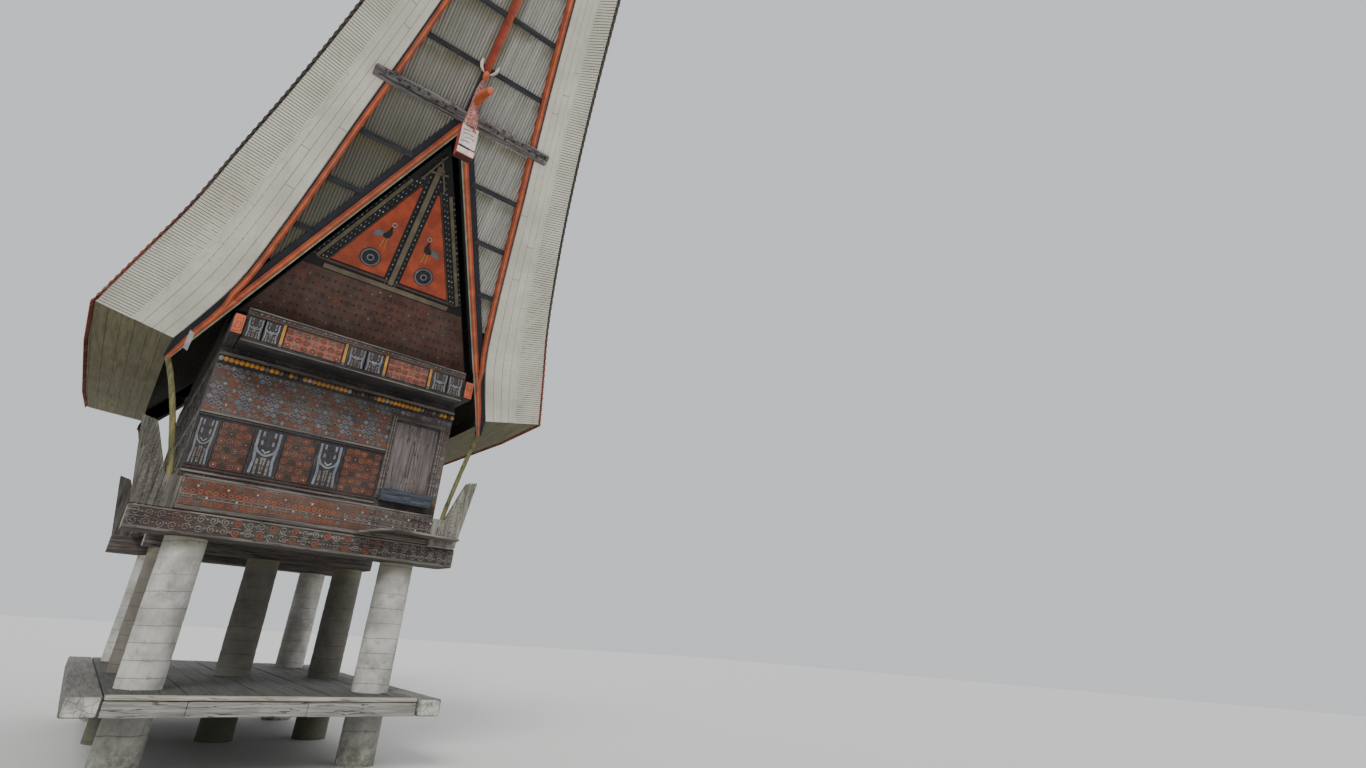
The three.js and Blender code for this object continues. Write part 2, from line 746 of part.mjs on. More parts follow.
// Corrugated sheets over the shells, with an overhang along the edge
const sheetFrames = rings.map(([top, , edge]) => {
  const run = new THREE.Vector2(edge[0] - top[0], edge[2] - top[2]).normalize();
  return (point, along, off) => [
    point[0] + run.x * along - run.y * off,
    point[1],
    point[2] + run.y * along + run.x * off,
  ];
});
const sheetRings = rings.map(([top, beside, edge], i) => {
  const at = sheetFrames[i];
  return [
    at(top, 0, 0.4),
    at(beside, 0, 0.4),
    at(edge, 0, 0.4),
    at(edge, SHEET_OVERHANG, 0.4),
    at(edge, SHEET_OVERHANG, SHEET),
    at(edge, 0, SHEET),
    at(beside, 0, SHEET),
    at(top, 0, SHEET),
  ];
});
const sheet = loft(sheetRings);
add("roof_sheet_right", sheet, "sheet");
add("roof_sheet_left", mirrorX(sheet), "sheet");

// Ridge cap that follows the curve of the ridge
const capRings = rings.map(([top, beside, edge], i) => {
  const slope = (top[2] - edge[2]) / edge[0];
  const under = sheetFrames[i](beside, 0, SHEET + CAP_GAP);
  const over = sheetFrames[i](beside, 0, SHEET + CAP);
  const peak = (off) => [-3, top[1], top[2] + 3 * slope + off * Math.hypot(1, slope)];
  return [peak(SHEET + CAP), over, under, peak(SHEET + CAP_GAP)];
});
const capHalf = loft(capRings);
add("ridge_cap", join([capHalf, mirrorX(capHalf)]), "dark");

// Caps of the two tips: three lapped bands of sheet in the shape of the gable
const capBands = [0, 1, 2].map((i) => {
  const [inward, peakStep, sideStep, backStep] = TIP_CAP_STEPS.map((step) => step * i);
  const half = TIP_CAP_HALF_WIDTH - inward;
  const peak = TIP_CAP_PEAK - peakStep;
  const side = TIP_CAP_SIDE - sideStep;
  const outline = [
    [-half, side],
    [-half, side - 104],
    [0, peak - 154],
    [half, side - 104],
    [half, side],
    [0, peak],
  ];
  return slab(outline, -TIP - TIP_CAP_FACE + backStep, -TIP + TIP_CAP_BACK);
});
const tipCap = join(capBands);
add("tip_cap_front", tipCap, "cap");
add("tip_cap_rear", mirrorY(tipCap), "cap");

export default group;
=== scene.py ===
import math

import bmesh
import bpy
from mathutils import Matrix, Vector, noise


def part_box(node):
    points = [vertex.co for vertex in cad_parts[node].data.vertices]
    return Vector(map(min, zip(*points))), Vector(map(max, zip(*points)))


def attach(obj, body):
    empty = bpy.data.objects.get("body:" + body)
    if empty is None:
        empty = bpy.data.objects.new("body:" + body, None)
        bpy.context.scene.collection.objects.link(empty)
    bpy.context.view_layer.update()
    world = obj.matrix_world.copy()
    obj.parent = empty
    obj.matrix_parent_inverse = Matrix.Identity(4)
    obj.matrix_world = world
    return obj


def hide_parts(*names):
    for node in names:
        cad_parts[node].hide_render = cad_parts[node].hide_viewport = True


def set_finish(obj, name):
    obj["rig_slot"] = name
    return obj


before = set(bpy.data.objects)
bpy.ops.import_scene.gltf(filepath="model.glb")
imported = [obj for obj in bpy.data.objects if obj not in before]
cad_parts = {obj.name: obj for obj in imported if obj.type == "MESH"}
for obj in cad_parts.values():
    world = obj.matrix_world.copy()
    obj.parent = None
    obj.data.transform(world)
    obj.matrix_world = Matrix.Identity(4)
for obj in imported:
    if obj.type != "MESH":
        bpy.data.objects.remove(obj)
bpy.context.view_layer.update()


# Pillars
# Seven round palm trunks stand on the ground and rise through the platform to the tie
# beams. The bark is off; lime and lichen whiten them, and faint rings mark old leaf bases.
def operator(operation, swapped=False):
    def apply(self, other):
        pair = (other, self) if swapped else (self, other)
        return self.finish.node("ShaderNodeMath", {"operation": operation}, dict(enumerate(pair)))

    return apply


class Shade:
    """One socket of a finish; Python operators on it add Math nodes."""

    def __init__(self, finish, socket):
        self.finish = finish
        self.socket = socket

    __add__ = operator("ADD")
    __radd__ = operator("ADD", swapped=True)
    __sub__ = operator("SUBTRACT")
    __rsub__ = operator("SUBTRACT", swapped=True)
    __mul__ = operator("MULTIPLY")
    __rmul__ = operator("MULTIPLY", swapped=True)
    __truediv__ = operator("DIVIDE")
    __rtruediv__ = operator("DIVIDE", swapped=True)
    __mod__ = operator("FLOORED_MODULO")
    __gt__ = operator("GREATER_THAN")
    least = operator("MINIMUM")
    most = operator("MAXIMUM")

    def __abs__(self):
        return self.finish.node("ShaderNodeMath", {"operation": "ABSOLUTE"}, {0: self})

    def whole(self):
        return self.finish.node("ShaderNodeMath", {"operation": "FLOOR"}, {0: self})

    def rise(self, low, high):
        """0 at low, 1 at high and smooth between them, whichever is the larger."""
        ends = {"Value": self, "From Min": low, "From Max": high}
        return self.finish.node("ShaderNodeMapRange", {"interpolation_type": "SMOOTHSTEP"}, ends)


def tone(red, green, blue):
    """A colour as it is seen, 0 to 255, turned into light."""
    return (*(((c / 255 + 0.055) / 1.055) ** 2.4 if c > 10 else c / 3294 for c in (red, green, blue)), 1.0)


class Finish:
    """The look of one surface: a material whose nodes are added one call at a time."""

    def __init__(self, name):
        self.material = bpy.data.materials.new(name)
        self.material.use_nodes = True
        self.tree = self.material.node_tree
        self.place = self.node("ShaderNodeTexCoord", output="Object")
        axes = [self.node("ShaderNodeSeparateXYZ", {}, {0: self.place}, axis) for axis in "XYZ"]
        self.x, self.y, self.z = axes

    def node(self, kind, settings=None, inputs=None, output=0):
        made = self.tree.nodes.new(kind)
        for key, value in (settings or {}).items():
            setattr(made, key, value)
        for key, value in (inputs or {}).items():
            self.feed(made.inputs[key], value)
        return Shade(self, made.outputs[output])

    def feed(self, socket, value):
        if isinstance(value, Shade):
            self.tree.links.new(value.socket, socket)
        else:
            socket.default_value = value

    def vector(self, x, y, z):
        return self.node("ShaderNodeCombineXYZ", {}, {"X": x, "Y": y, "Z": z})

    def noise(self, scale, detail=3.0, rough=0.55, at=None):
        """Cloudy noise over the piece, or over another vector."""
        inputs = {"Vector": at or self.place, "Scale": scale, "Detail": detail, "Roughness": rough}
        return self.node("ShaderNodeTexNoise", {}, inputs)

    def net(self, scale):
        """Distance to the nearest line of a net of cells."""
        inputs = {"Vector": self.place, "Scale": scale}
        return self.node("ShaderNodeTexVoronoi", {"feature": "DISTANCE_TO_EDGE"}, inputs)

    def cell(self, value):
        """A steady random number for each whole step of value."""
        steps = {"W": value.whole()}
        return self.node("ShaderNodeTexWhiteNoise", {"noise_dimensions": "1D"}, steps, "Value")

    def mix(self, share, one, two):
        return self.node("ShaderNodeMix", {"data_type": "RGBA"}, {0: share, 6: one, 7: two}, 2)

    def coats(self, colour, *layers):
        """Lays one tone after another over a colour, each by its share."""
        for share, over in layers:
            colour = self.mix(share, colour, tone(*over))
        return colour

    def surface(self, colour, rough, height=None, depth=None, metallic=0.0):
        """Feeds the shader; height is in parts of depth, which is in metres."""
        shader = self.tree.nodes["Principled BSDF"]
        self.feed(shader.inputs["Base Color"], colour)
        self.feed(shader.inputs["Roughness"], rough)
        self.feed(shader.inputs["Metallic"], metallic)
        if height is not None:
            bump = self.node("ShaderNodeBump", {}, {"Strength": 1.0, "Distance": depth, "Height": height})
            self.feed(shader.inputs["Normal"], bump)
        return self


class Work:
    """One piece while it is being made: closed bodies whose faces know their finish."""

    def __init__(self, place=None):
        self.mesh = bmesh.new()
        self.place = place  # turns across, up and out on a board into a point

    def face(self, corners, finish):
        self.mesh.faces.new(corners).material_index = finish

    def rows(self, rings):
        return [[self.mesh.verts.new(point) for point in ring] for ring in rings]

    def walls(self, rings, finish, loop=False):
        pairs = list(zip(rings, rings[1:])) + ([(rings[-1], rings[0])] if loop else [])
        for one, two in pairs:
            for k in range(len(one)):
                self.face((one[k - 1], one[k], two[k], two[k - 1]), finish)

    def body(self, rings, finish=0, loop=False, ends=None):
        """A closed body over rings of an even number of points; ends may differ in finish."""
        rings = self.rows(rings)
        self.walls(rings, finish, loop)
        for ring in () if loop else (rings[0], rings[-1]):
            last = len(ring) - 1
            for k in range(len(ring) // 2 - 1):
                corners = (ring[k], ring[k + 1], ring[last - k - 1], ring[last - k])
                self.face(corners, finish if ends is None else ends)

    def plate(self, outline, low, high, finish=0):
        """A flat shape on the board, from low to high out of its face."""
        rings = self.rows([[self.place(u, v, out) for u, v in outline] for out in (low, high)])
        self.walls(rings, finish)
        self.face(rings[0], finish)
        self.face(rings[1], finish)

    def ribbon(self, path, wide, low, high, finish=0, loop=False):
        """A strip of an even width that follows a path on the board."""
        rings = []
        count = len(path)
        for k, (u, v) in enumerate(path):
            before = path[k - 1] if k or loop else path[k]
            after = path[(k + 1) % count] if k + 1 < count or loop else path[k]
            du, dv = after[0] - before[0], after[1] - before[1]
            reach = wide / 2 / (math.hypot(du, dv) or 1.0)
            one, two = (u - dv * reach, v + du * reach), (u + dv * reach, v - du * reach)
            corners = ((one, low), (two, low), (two, high), (one, high))
            rings.append([self.place(*corner, out) for corner, out in corners])
        self.body(rings, finish, loop)

    def beam(self, start, end, across, over, finish=0, worn=0.004, soft=0.012, step=0.14, seed=0, ends=None):
        """A hewn timber from start to end; across and over are its half sides."""
        start, end, across, over = map(Vector, (start, end, across, over))
        length = (end - start).length
        wide, deep = across.length, over.length
        section = []
        turns = ((1, 1), (-1, 1), (-1, -1), (1, -1))
        for corner, (cu, cv) in enumerate(turns):
            for turn in (0.0, 0.5, 1.0):
                angle = math.pi / 2 * turn
                du, dv = math.cos(angle), math.sin(angle)
                if cu * cv < 0:
                    du, dv = dv, du
                section.append((cu * (1 - soft / wide * (1 - du)), cv * (1 - soft / deep * (1 - dv))))
            nu, nv = turns[(corner + 1) % 4]
            for share in (0.25, 0.5, 0.75):
                section.append((cu + (nu - cu) * share, cv + (nv - cv) * share))
        stations = max(2, round(length / step))
        shares = [0.0, soft / length, *(k / stations for k in range(1, stations)), 1 - soft / length, 1.0]
        rings = []
        for share in shares:
            closing = 1.0 if 0.0 < share < 1.0 else 1 - 0.5 * soft / min(wide, deep)
            ring = []
            for u, v in section:
                point = start.lerp(end, share) + (across * u + over * v) * closing
                dent = worn * (0.5 + 0.5 * noise.noise(point * 3.1 + Vector((seed, 0, 0))))
                dent += worn * 0.6 * abs(noise.noise(point * 11 + Vector((0, seed, 0))))
                ring.append(point + (across * (-u * dent / wide) + over * (-v * dent / deep)))
            rings.append(ring)
        self.body(rings, finish, ends=ends)

    def balk(self, axis, reach, middle, halves, finish=0, **wear):
        """A timber along x, y or z; middle and halves are its other two measures, in that order."""
        along = "xyz".index(axis)
        first, second = (k for k in range(3) if k != along)
        start, across, over = Vector(), Vector(), Vector()
        start[first], start[second] = middle
        across[first], over[second] = halves
        end = start.copy()
        start[along], end[along] = reach if isinstance(reach, tuple) else (-reach, reach)
        self.beam(start, end, across, over, finish, **wear)

    def piece(self, name, finishes, slot, nodes=(), crease=35):
        """Turns the work into a Blender object that rides on the house."""
        bmesh.ops.recalc_face_normals(self.mesh, faces=self.mesh.faces)
        mesh = bpy.data.meshes.new(name)
        self.mesh.to_mesh(mesh)
        self.mesh.free()
        for finish in finishes:
            mesh.materials.append(finish.material)
        mesh.shade_smooth()
        mesh.set_sharp_from_angle(angle=math.radians(crease))
        return settled(bpy.data.objects.new(name, mesh), slot, nodes)

    def both_ends(self, name, finishes, slot, node, crease=35):
        """The piece at the front, and once more at the rear."""
        front = self.piece(name.format("front"), finishes, slot, [node.format("front")], crease)
        turned(front, name.format("rear"), [node.format("rear")])


def settled(made, slot, nodes):
    bpy.context.scene.collection.objects.link(made)
    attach(made, "root")
    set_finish(made, slot)
    if nodes:
        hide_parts(*nodes)
    return made


def turned(piece, name, nodes=()):
    """The same piece at the rear, turned half round the middle of the house."""
    mesh = piece.data.copy()
    mesh.name = name
    mesh.transform(Matrix.Rotation(math.pi, 4, "Z"))
    return settled(bpy.data.objects.new(name, mesh), piece["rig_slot"], nodes)


def trunk_finish():
    """Limed and blotched, ringed, yellowed at the head, mossy at the foot, and darker in the middle row as
    painted shade.
    """
    finish = Finish("limed_palm_trunk")
    blotch = finish.noise(2.4, 5, 0.62)
    patch = finish.noise(10.0, 5, 0.7)
    fibre = finish.noise(3.0, 3, at=finish.vector(finish.x * 26, finish.y * 26, finish.z * 1.2))
    wander = finish.noise(1.4, 2, at=finish.vector(finish.x, finish.y, finish.z * 0.3))
    level = finish.z * 5.6 + wander * 0.7
    ring = abs(level % 1.0 - 0.5).rise(0.03, 0.0) * (finish.cell(level) + 0.25).least(1.0)
    colour = finish.coats(
        tone(136, 133, 126),
        (blotch.rise(0.34, 0.68), (182, 179, 172)),
        (patch.rise(0.56, 0.68) * 0.5, (108, 104, 96)),
        (fibre.rise(0.58, 0.74) * 0.35, (106, 99, 90)),
        (ring * 0.7, (92, 86, 84)),
        # painted shade: the trunks of the middle row, under the store, are darker
        (abs(finish.y).rise(1.9, 1.0) * 0.8, (66, 61, 48)),
        (finish.z.rise(2.18, 2.38) * 0.35, (134, 128, 98)),
        (finish.z.rise(0.62, 0.0) * patch.rise(0.3, 0.62) * 0.75, (84, 88, 62)),
    )
    return finish.surface(colour, 0.72 + blotch * 0.2, fibre * 0.5 + patch * 0.7 - ring * 0.9, 0.005)


palm_trunk = trunk_finish()
TRUNK_TOP = 2.408
FOOT_RADIUS, TAPER = 0.2265, 0.0135
TRUNK_STATIONS, TRUNK_SIDES = 60, 56
LEAF_RING = 0.0035
for name in (n for n in sorted(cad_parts) if n.startswith("pillar_")):
    low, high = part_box(name)
    middle = (low + high) / 2
    foot = Vector((middle.x, middle.y, 0))
    rings = []
    for k in range(TRUNK_STATIONS + 1):
        z = TRUNK_TOP * k / TRUNK_STATIONS
        groove = LEAF_RING if k % 8 == 5 else 0.0
        ring = []
        for turn in range(TRUNK_SIDES):
            angle = turn / TRUNK_SIDES * math.tau
            out = Vector((math.cos(angle), math.sin(angle), 0))
            wobble = 0.004 * noise.noise(foot + out * 0.9 + Vector((0, 0, z * 1.7)))
            radius = FOOT_RADIUS - TAPER * z / TRUNK_TOP + wobble - groove - 0.002
            ring.append((middle.x + out.x * radius, middle.y + out.y * radius, z))
        rings.append(ring)
    trunk = Work()
    trunk.body(rings)
    trunk.piece(name.replace("pillar", "trunk"), [palm_trunk], "palm_trunk", [name], 50)


# Platform
# A deck of worn planks between the pillars, where people sit. Thick beams frame it and
# square bearers carry it through the pillars; all of it is bare hardwood gone grey.
FIBRE = 18  # fibres are this much finer across the grain than along it


def timber(name, along, dark, pale, stain, share=0.5):
    """Bare weathered timber with its grain along one axis; share is how much of it is stained."""
    finish = Finish(name)
    places = zip("xyz", (finish.x, finish.y, finish.z))
    run = finish.vector(*(at if axis == along else at * FIBRE for axis, at in places))
    streak = finish.noise(1.6, 6, 0.65, run)
    line = finish.noise(5.5, 4, 0.7, run)
    blotch = finish.noise(2.1, 5, 0.6)
    crack = abs(finish.noise(1.1, 3, 0.5, run) - 0.5).rise(0.012, 0.0)
    colour = finish.coats(
        tone(*dark),
        (streak.rise(0.34, 0.66), pale),
        (blotch.rise(0.62 - share * 0.2, 0.72) * share, stain),
        (line.rise(0.55, 0.75) * 0.45, dark),
        (crack * 0.8, (34, 30, 27)),
    )
    return finish.surface(colour, 0.78 + streak * 0.18, streak * 0.5 + line * 0.5 - crack * 1.2, 0.006)


def end_grain_finish():
    finish = Finish("cracked_end_grain")
    crack = finish.net(13.0)
    cloud = finish.noise(9.0, 4, 0.6)
    colour = finish.coats(
        tone(122, 120, 112),
        (cloud.rise(0.36, 0.66), (174, 173, 166)),
        (crack.rise(0.03, 0.0) * 0.75, (52, 48, 44)),
    )
    return finish.surface(colour, 0.85, crack.least(0.06) * 10.0 + cloud * 0.4, 0.005)


grey_beam = timber("grey_platform_beam", "y", (78, 76, 72), (110, 107, 101), (88, 90, 76))
grey_board = timber("grey_platform_board", "x", (104, 101, 96), (144, 141, 134), (148, 146, 140))
top_plank = timber("worn_top_plank", "x", (128, 124, 112), (170, 164, 150), (134, 130, 108))
deck_plank = timber("worn_deck_plank", "y", (46, 46, 43), (72, 71, 66), (56, 60, 49))
end_grain = end_grain_finish()
BOTH_SIDES = ((-1, "left"), (1, "right"))
SAWN_END, TOP_PLANK = 1, 1
DECK_HALF, DECK_REACH = 1.804, 3.138
BEAM_WIDE, BEAM_Z = 0.30, 0.73
BOARD_HALF, JOINTS = 1.5, (-0.82, 0.3)  # half the length of the end boards, and where they are pieced
PLANKS = 13
PLANK_PITCH = (2 * (DECK_HALF - BEAM_WIDE) - 0.002) / PLANKS
PILLAR_ROWS = (("front", -2.25), ("middle", 0.0), ("rear", 2.25))

for side, label in BOTH_SIDES:
    beam = Work()
    middle = side * (DECK_HALF - BEAM_WIDE / 2)
    wear = {"worn": 0.006, "soft": 0.02, "step": 0.12, "seed": side}
    beam.balk("y", DECK_REACH, (middle, BEAM_Z), (0.149, 0.1), ends=SAWN_END, **wear)
    name = "platform_side_beam_" + label
    beam.piece("deck_side_beam_" + label, [grey_beam, end_grain], "weathered_wood", [name])

board = Work()
board.balk("x", BOARD_HALF, (-3.066, 0.808), (0.074, 0.022), TOP_PLANK, soft=0.01, step=0.1, seed=3)
for left, right in zip((-BOARD_HALF, *(at + 0.005 for at in JOINTS)), (*JOINTS, BOARD_HALF)):
    wear = {"worn": 0.005, "soft": 0.008, "step": 0.1, "seed": 5 + left}
    board.balk("x", (left, right), (-3.059, 0.708), (0.067, 0.077), **wear)
board.both_ends("deck_{}_board", [grey_board, top_plank], "weathered_wood", "platform_{}_board")

deck = Work()
for k in range(PLANKS):
    middle = -DECK_HALF + BEAM_WIDE + 0.001 + PLANK_PITCH * (k + 0.5)
    half = PLANK_PITCH / 2 - 0.0025
    height = 0.799 - 0.002 * (k % 3)
    deck.balk("y", 2.987, (middle, height), (half, 0.028), worn=0.003, soft=0.006, step=0.16, seed=k * 1.7)
deck.piece("deck_planks", [deck_plank], "weathered_wood", ["platform_deck"])
for row, y in PILLAR_ROWS:
    bearer = Work()
    bearer.balk("x", 1.503, (y, 0.675), (0.0595, 0.0945), worn=0.004, soft=0.01, step=0.12, seed=y)
    bearer.piece("deck_bearer_" + row, [grey_board], "weathered_wood", ["platform_bearer_" + row])


# Tie beams
# Heavy squared timbers lie across the heads of the pillars. The faces of the end ones are
# carved in low relief with rings and scrolls, with traces of the old red earth paint.
def paint(name, colour, worn, rough=0.75, dust=0.4):
    """Earth paint on a carved board, dusty, rubbed and chipped to dark wood in places."""
    finish = Finish(name)
    cloud = finish.noise(6.0, 4, 0.6)
    chip = finish.noise(38.0, 4, 0.65)
    grime = finish.noise(1.9, 4, 0.6)
    fibre = finish.noise(7.0, 3, at=finish.vector(finish.x * 9, finish.y * 9, finish.z * 2))
    fresh = tone(*colour)
    shaded = tuple(c * 0.6 for c in fresh[:3]) + (1.0,)
    coat = finish.coats(
        finish.mix(cloud.rise(0.35, 0.68), shaded, fresh),
        (grime.rise(0.4, 0.66) * dust, (94, 87, 82)),
        (fibre.rise(0.5, 0.75) * (dust * 0.75), (128, 120, 112)),
        (chip.rise(0.74 - worn * 0.26, 0.82 - worn * 0.2), (60, 52, 47)),
    )
    return finish.surface(coat, rough + cloud * 0.15, chip * 0.6 + fibre * 0.4, 0.003)


bare_carved = timber("bare_carved_timber", "x", (74, 68, 63), (118, 110, 103), (90, 70, 61), 0.6)
tie_timber = timber("tie_beam_timber", "x", (62, 58, 54), (104, 98, 91), (84, 68, 62), 0.7)
relief_timber = timber("tie_relief_timber", "x", (78, 73, 68), (122, 115, 107), (92, 70, 63), 0.6)
hollow_timber = timber("carved_hollow_timber", "x", (44, 40, 38), (74, 66, 60), (72, 46, 40), 0.8)
red_paint = paint("red_earth_paint", (134, 70, 44), 0.5, 0.75, 0.3)
black_paint = paint("soot_black_paint", (38, 37, 42), 0.4, 0.75, 0.2)
white_paint = paint("lime_white_paint", (166, 160, 152), 0.5)
ochre_paint = paint("ochre_paint", (188, 130, 48), 0.4, 0.75, 0.25)
grey_paint = paint("blue_grey_paint", (114, 118, 126), 0.5)
brown_paint = paint("brown_earth_paint", (84, 56, 41), 0.5, 0.75, 0.3)
dusty_paint = paint("dusty_ground_paint", (50, 42, 40), 0.4, 0.8, 0.4)
PAINTS = [bare_carved, red_paint, black_paint, white_paint, ochre_paint, grey_paint, brown_paint, dusty_paint]
BARE, RED, BLACK, WHITE, OCHRE, GREY, BROWN, DUSTY = range(8)


def disc(across, up, radius, count):
    turns = [k / count * math.tau for k in range(count)]
    return [(across + radius * math.cos(turn), up + radius * math.sin(turn)) for turn in turns]


def scroll(across, up, size, turns, hand, start=0.0, count=22):
    """A spiral from its eye outwards."""
    path = []
    for k in range(count):
        share = k / (count - 1)
        angle = start + hand * share * turns * math.tau
        radius = size * (0.16 + 0.84 * share)
        path.append((across + radius * math.cos(angle), up + radius * math.sin(angle)))
    return path


def oblong(left, right, low, high):
    return [(left, low), (right, low), (right, high), (left, high)]


def diamond(across, up, half, tall):
    return [(across - half, up), (across, up - tall), (across + half, up), (across, up + tall)]


def end_face(face):
    """Places points on a board that looks to the front at a distance from the middle."""
    return lambda u, v, out: (u, -face - out, v)


TIE_HALF, TIE_Y, TIE_Z = 1.829, -2.354, 2.5425
TIE_GROUND = 2.589  # the hollowed ground of the carving, behind the raised edges
TIE_PITCH = 0.121
RELIEF, HOLLOW, TRACE, SAWN, HEWN = range(5)
tie = Work(end_face(TIE_GROUND))
tie.balk("x", TIE_HALF, (TIE_Y, TIE_Z), (0.241, 0.132), HEWN, worn=0.005, soft=0.014, step=0.1, ends=SAWN)
tie.plate(oblong(-1.79, 1.79, 2.452, 2.648), -0.01, 0.005, HOLLOW)
tie.balk("x", 1.815, (-2.595, 2.434), (0.006, 0.017), HEWN, worn=0.002, soft=0.004, step=0.1)
tie.ribbon([(-1.8, 2.659), (1.8, 2.659)], 0.02, -0.01, 0.011, RELIEF)
for k in range(30):
    u = -1.755 + k * TIE_PITCH
    for v, hand in ((2.499, 1), (2.602, -1)):
        turn = hand * (1 if k % 2 else -1)
        painted = 6 < k < 22 and (k * 7 + round(v * 40)) % 5 < 2
        tie.ribbon(scroll(u, v, 0.045, 1.5, turn, k * 0.7), 0.013, 0.0, 0.011, TRACE if painted else RELIEF)
        tie.plate(disc(u + TIE_PITCH / 2, v + 0.004 * (k % 3), 0.0125, 8), 0.0, 0.01, RELIEF)
    tie.ribbon([(u - 0.045, 2.546), (u, 2.556), (u + 0.045, 2.546)], 0.01, 0.0, 0.009, RELIEF)
tie_finishes = [relief_timber, hollow_timber, red_paint, end_grain, tie_timber]
tie.both_ends("tie_beam_{}_carved", tie_finishes, "carved_wood", "tie_beam_{}")
tie = Work()
tie.balk("x", 1.498, (0, TIE_Z), (0.168, 0.1335), worn=0.005, soft=0.014, ends=SAWN_END)
tie.piece("tie_beam_middle_hewn", [tie_timber, end_grain], "weathered_wood", ["tie_beam_middle"])


# Sills
# The carved bottom rails of both end walls: rows of scrolls, diamonds and sparse white
# dots between plain rails, in red earth paint that has faded to bare grey at one end.
SILL_RAILS = ((2.7, BARE), (2.744, BROWN), (2.826, BARE), (2.856, BARE), (2.944, BROWN), (3.054, BARE))
SILL_HALF, SILL_Y, SILL_Z, SILL_FACE = 1.438, -2.539, 2.876, 2.594
SILL_PITCH = 0.075
FADING = 0.62  # from here to the right end the paint is gone
sill = Work(end_face(SILL_FACE))
sill.balk("x", SILL_HALF, (SILL_Y, SILL_Z), (0.054, 0.198), worn=0.003, soft=0.01, step=0.1)
sill.plate(oblong(-1.42, FADING, 2.735, 3.03), -0.01, 0.001, BROWN)
sill.plate(oblong(FADING, 1.42, 2.735, 3.03), -0.01, 0.001, DUSTY)
for v, finish in SILL_RAILS:
    sill.ribbon([(-1.43, v), (1.43, v)], 0.011, -0.01, 0.006, finish)
for k in range(38):
    u = -1.388 + k * SILL_PITCH
    strong = RED if u < 0.6 - 0.2 * (k % 3) else BARE
    faint = BARE if k % 5 == 2 or u > 0.75 else RED
    hand = 1 if k % 2 else -1
    sill.plate(diamond(u, 2.9, 0.032, 0.036), -0.01, 0.006, strong)
    sill.plate(diamond(u, 2.9, 0.012, 0.013), 0.004, 0.008, BLACK)
    for foot, peak in ((2.864, 2.878), (2.936, 2.922)):
        sill.ribbon([(u - 0.036, foot), (u, peak), (u + 0.036, foot)], 0.008, -0.01, 0.005, strong)
    sill.ribbon(scroll(u, 2.785, 0.029, 1.3, hand, k * 1.1, 16), 0.009, -0.01, 0.006, faint)
    sill.ribbon(scroll(u, 2.998, 0.031, 1.4, -hand, k * 0.8, 16), 0.009, -0.01, 0.006, faint)
    if k % 4 == 1:
        sill.plate(disc(u + 0.037, 2.962, 0.013, 10), -0.01, 0.008, WHITE)
    if k % 4 == 3:
        sill.plate(disc(u, 2.841, 0.012, 10), -0.01, 0.008, WHITE)
    else:
        sill.plate(disc(u, 2.841, 0.008, 6), -0.01, 0.007, GREY)
sill.both_ends("sill_{}_carved", PAINTS, "carved_wood", "sill_{}")


# End walls
# Boards let into a frame and carved all over: a row of buffalo heads and scroll panels at
# the foot, and above it small figures in red and grey repeated up to the cornice.
HORNS = ((0.1, 0.66), (0.22, 0.52), (0.4, 0.455), (0.5, 0.445), (0.6, 0.455), (0.78, 0.52), (0.9, 0.66))
MUZZLE = ((0.4, 0.4), (0.45, 0.06), (0.55, 0.06), (0.6, 0.4))
SCROLL_PITCH = 0.09
ROW_INKS = ((RED, BARE), (GREY, RED), (BARE, GREY), (RED, GREY), (GREY, BARE), (BARE, RED))
CENTRE_INKS = (RED, BARE, GREY, BROWN, RED, GREY, WHITE)


def panel(work, edges, ground, rim):
    work.plate(oblong(*edges), -0.01, 0.002, ground)
    work.ribbon(oblong(*edges), 0.012, -0.005, 0.008, rim, loop=True)


def buffalo(work, left, right, low, high):
    """A tall panel with one stylised buffalo head: bars at its sides, horns and a muzzle."""
    wide = right - left

    def at(*shares):
        return [(left + wide * across, low + (high - low) * up) for across, up in shares]

    def line(thick, raised, finish, *shares):
        work.ribbon(at(*shares), wide * thick, 0.0, raised, finish)

    panel(work, (left, right, low, high), BLACK, DUSTY)
    for bar, inward in ((0.13, 0.17), (0.87, -0.17)):
        line(0.095, 0.008, GREY, (bar, 0.04), (bar + inward * 0.3, 0.34), (bar, 0.6), (bar, 0.96))
        line(0.085, 0.007, BARE, (bar + inward, 0.04), (bar + inward, 0.36))
        line(0.08, 0.007, GREY, (bar + inward * 1.05, 0.66), (bar + inward, 0.95))
        eye = at((0.5 + (bar - 0.5) * 0.5, 0.8))[0]
        work.plate(disc(*eye, wide * 0.095, 8), 0.0, 0.009, BROWN)
    line(0.09, 0.01, GREY, *HORNS)
    line(0.05, 0.009, WHITE, (0.36, 0.56), (0.5, 0.5), (0.64, 0.56))
    work.plate(at(*MUZZLE), 0.0, 0.008, BARE)
    line(0.035, 0.01, BLACK, (0.5, 0.1), (0.5, 0.36))


def scrolls(work, left, right, low, high, rows, ground, bold, inks=(RED, BROWN), inset=0.0):
    """A panel of spirals that turn against each other."""
    columns = round((right - left) / SCROLL_PITCH)
    left, right = left + inset, right - inset
    panel(work, (left, right, low, high), ground, BLACK)
    wide, tall = (right - left) / columns, (high - low) / rows
    size = min(wide, tall) * 0.45
    for i in range(columns):
        for j in range(rows):
            u, v = left + wide * (i + 0.5), low + tall * (j + 0.5)
            path = scroll(u, v, size, 1.6, 1 if (i + j) % 2 else -1, math.pi * j, 18)
            work.ribbon(path, size * bold, 0.0, 0.008, inks[(i + 2 * j) % 4 == 1])
            if (i * 2 + j) % 3 == 0:
                work.plate(disc(u, v, size * 0.18, 6), 0.0, 0.009, OCHRE if j % 2 else WHITE)


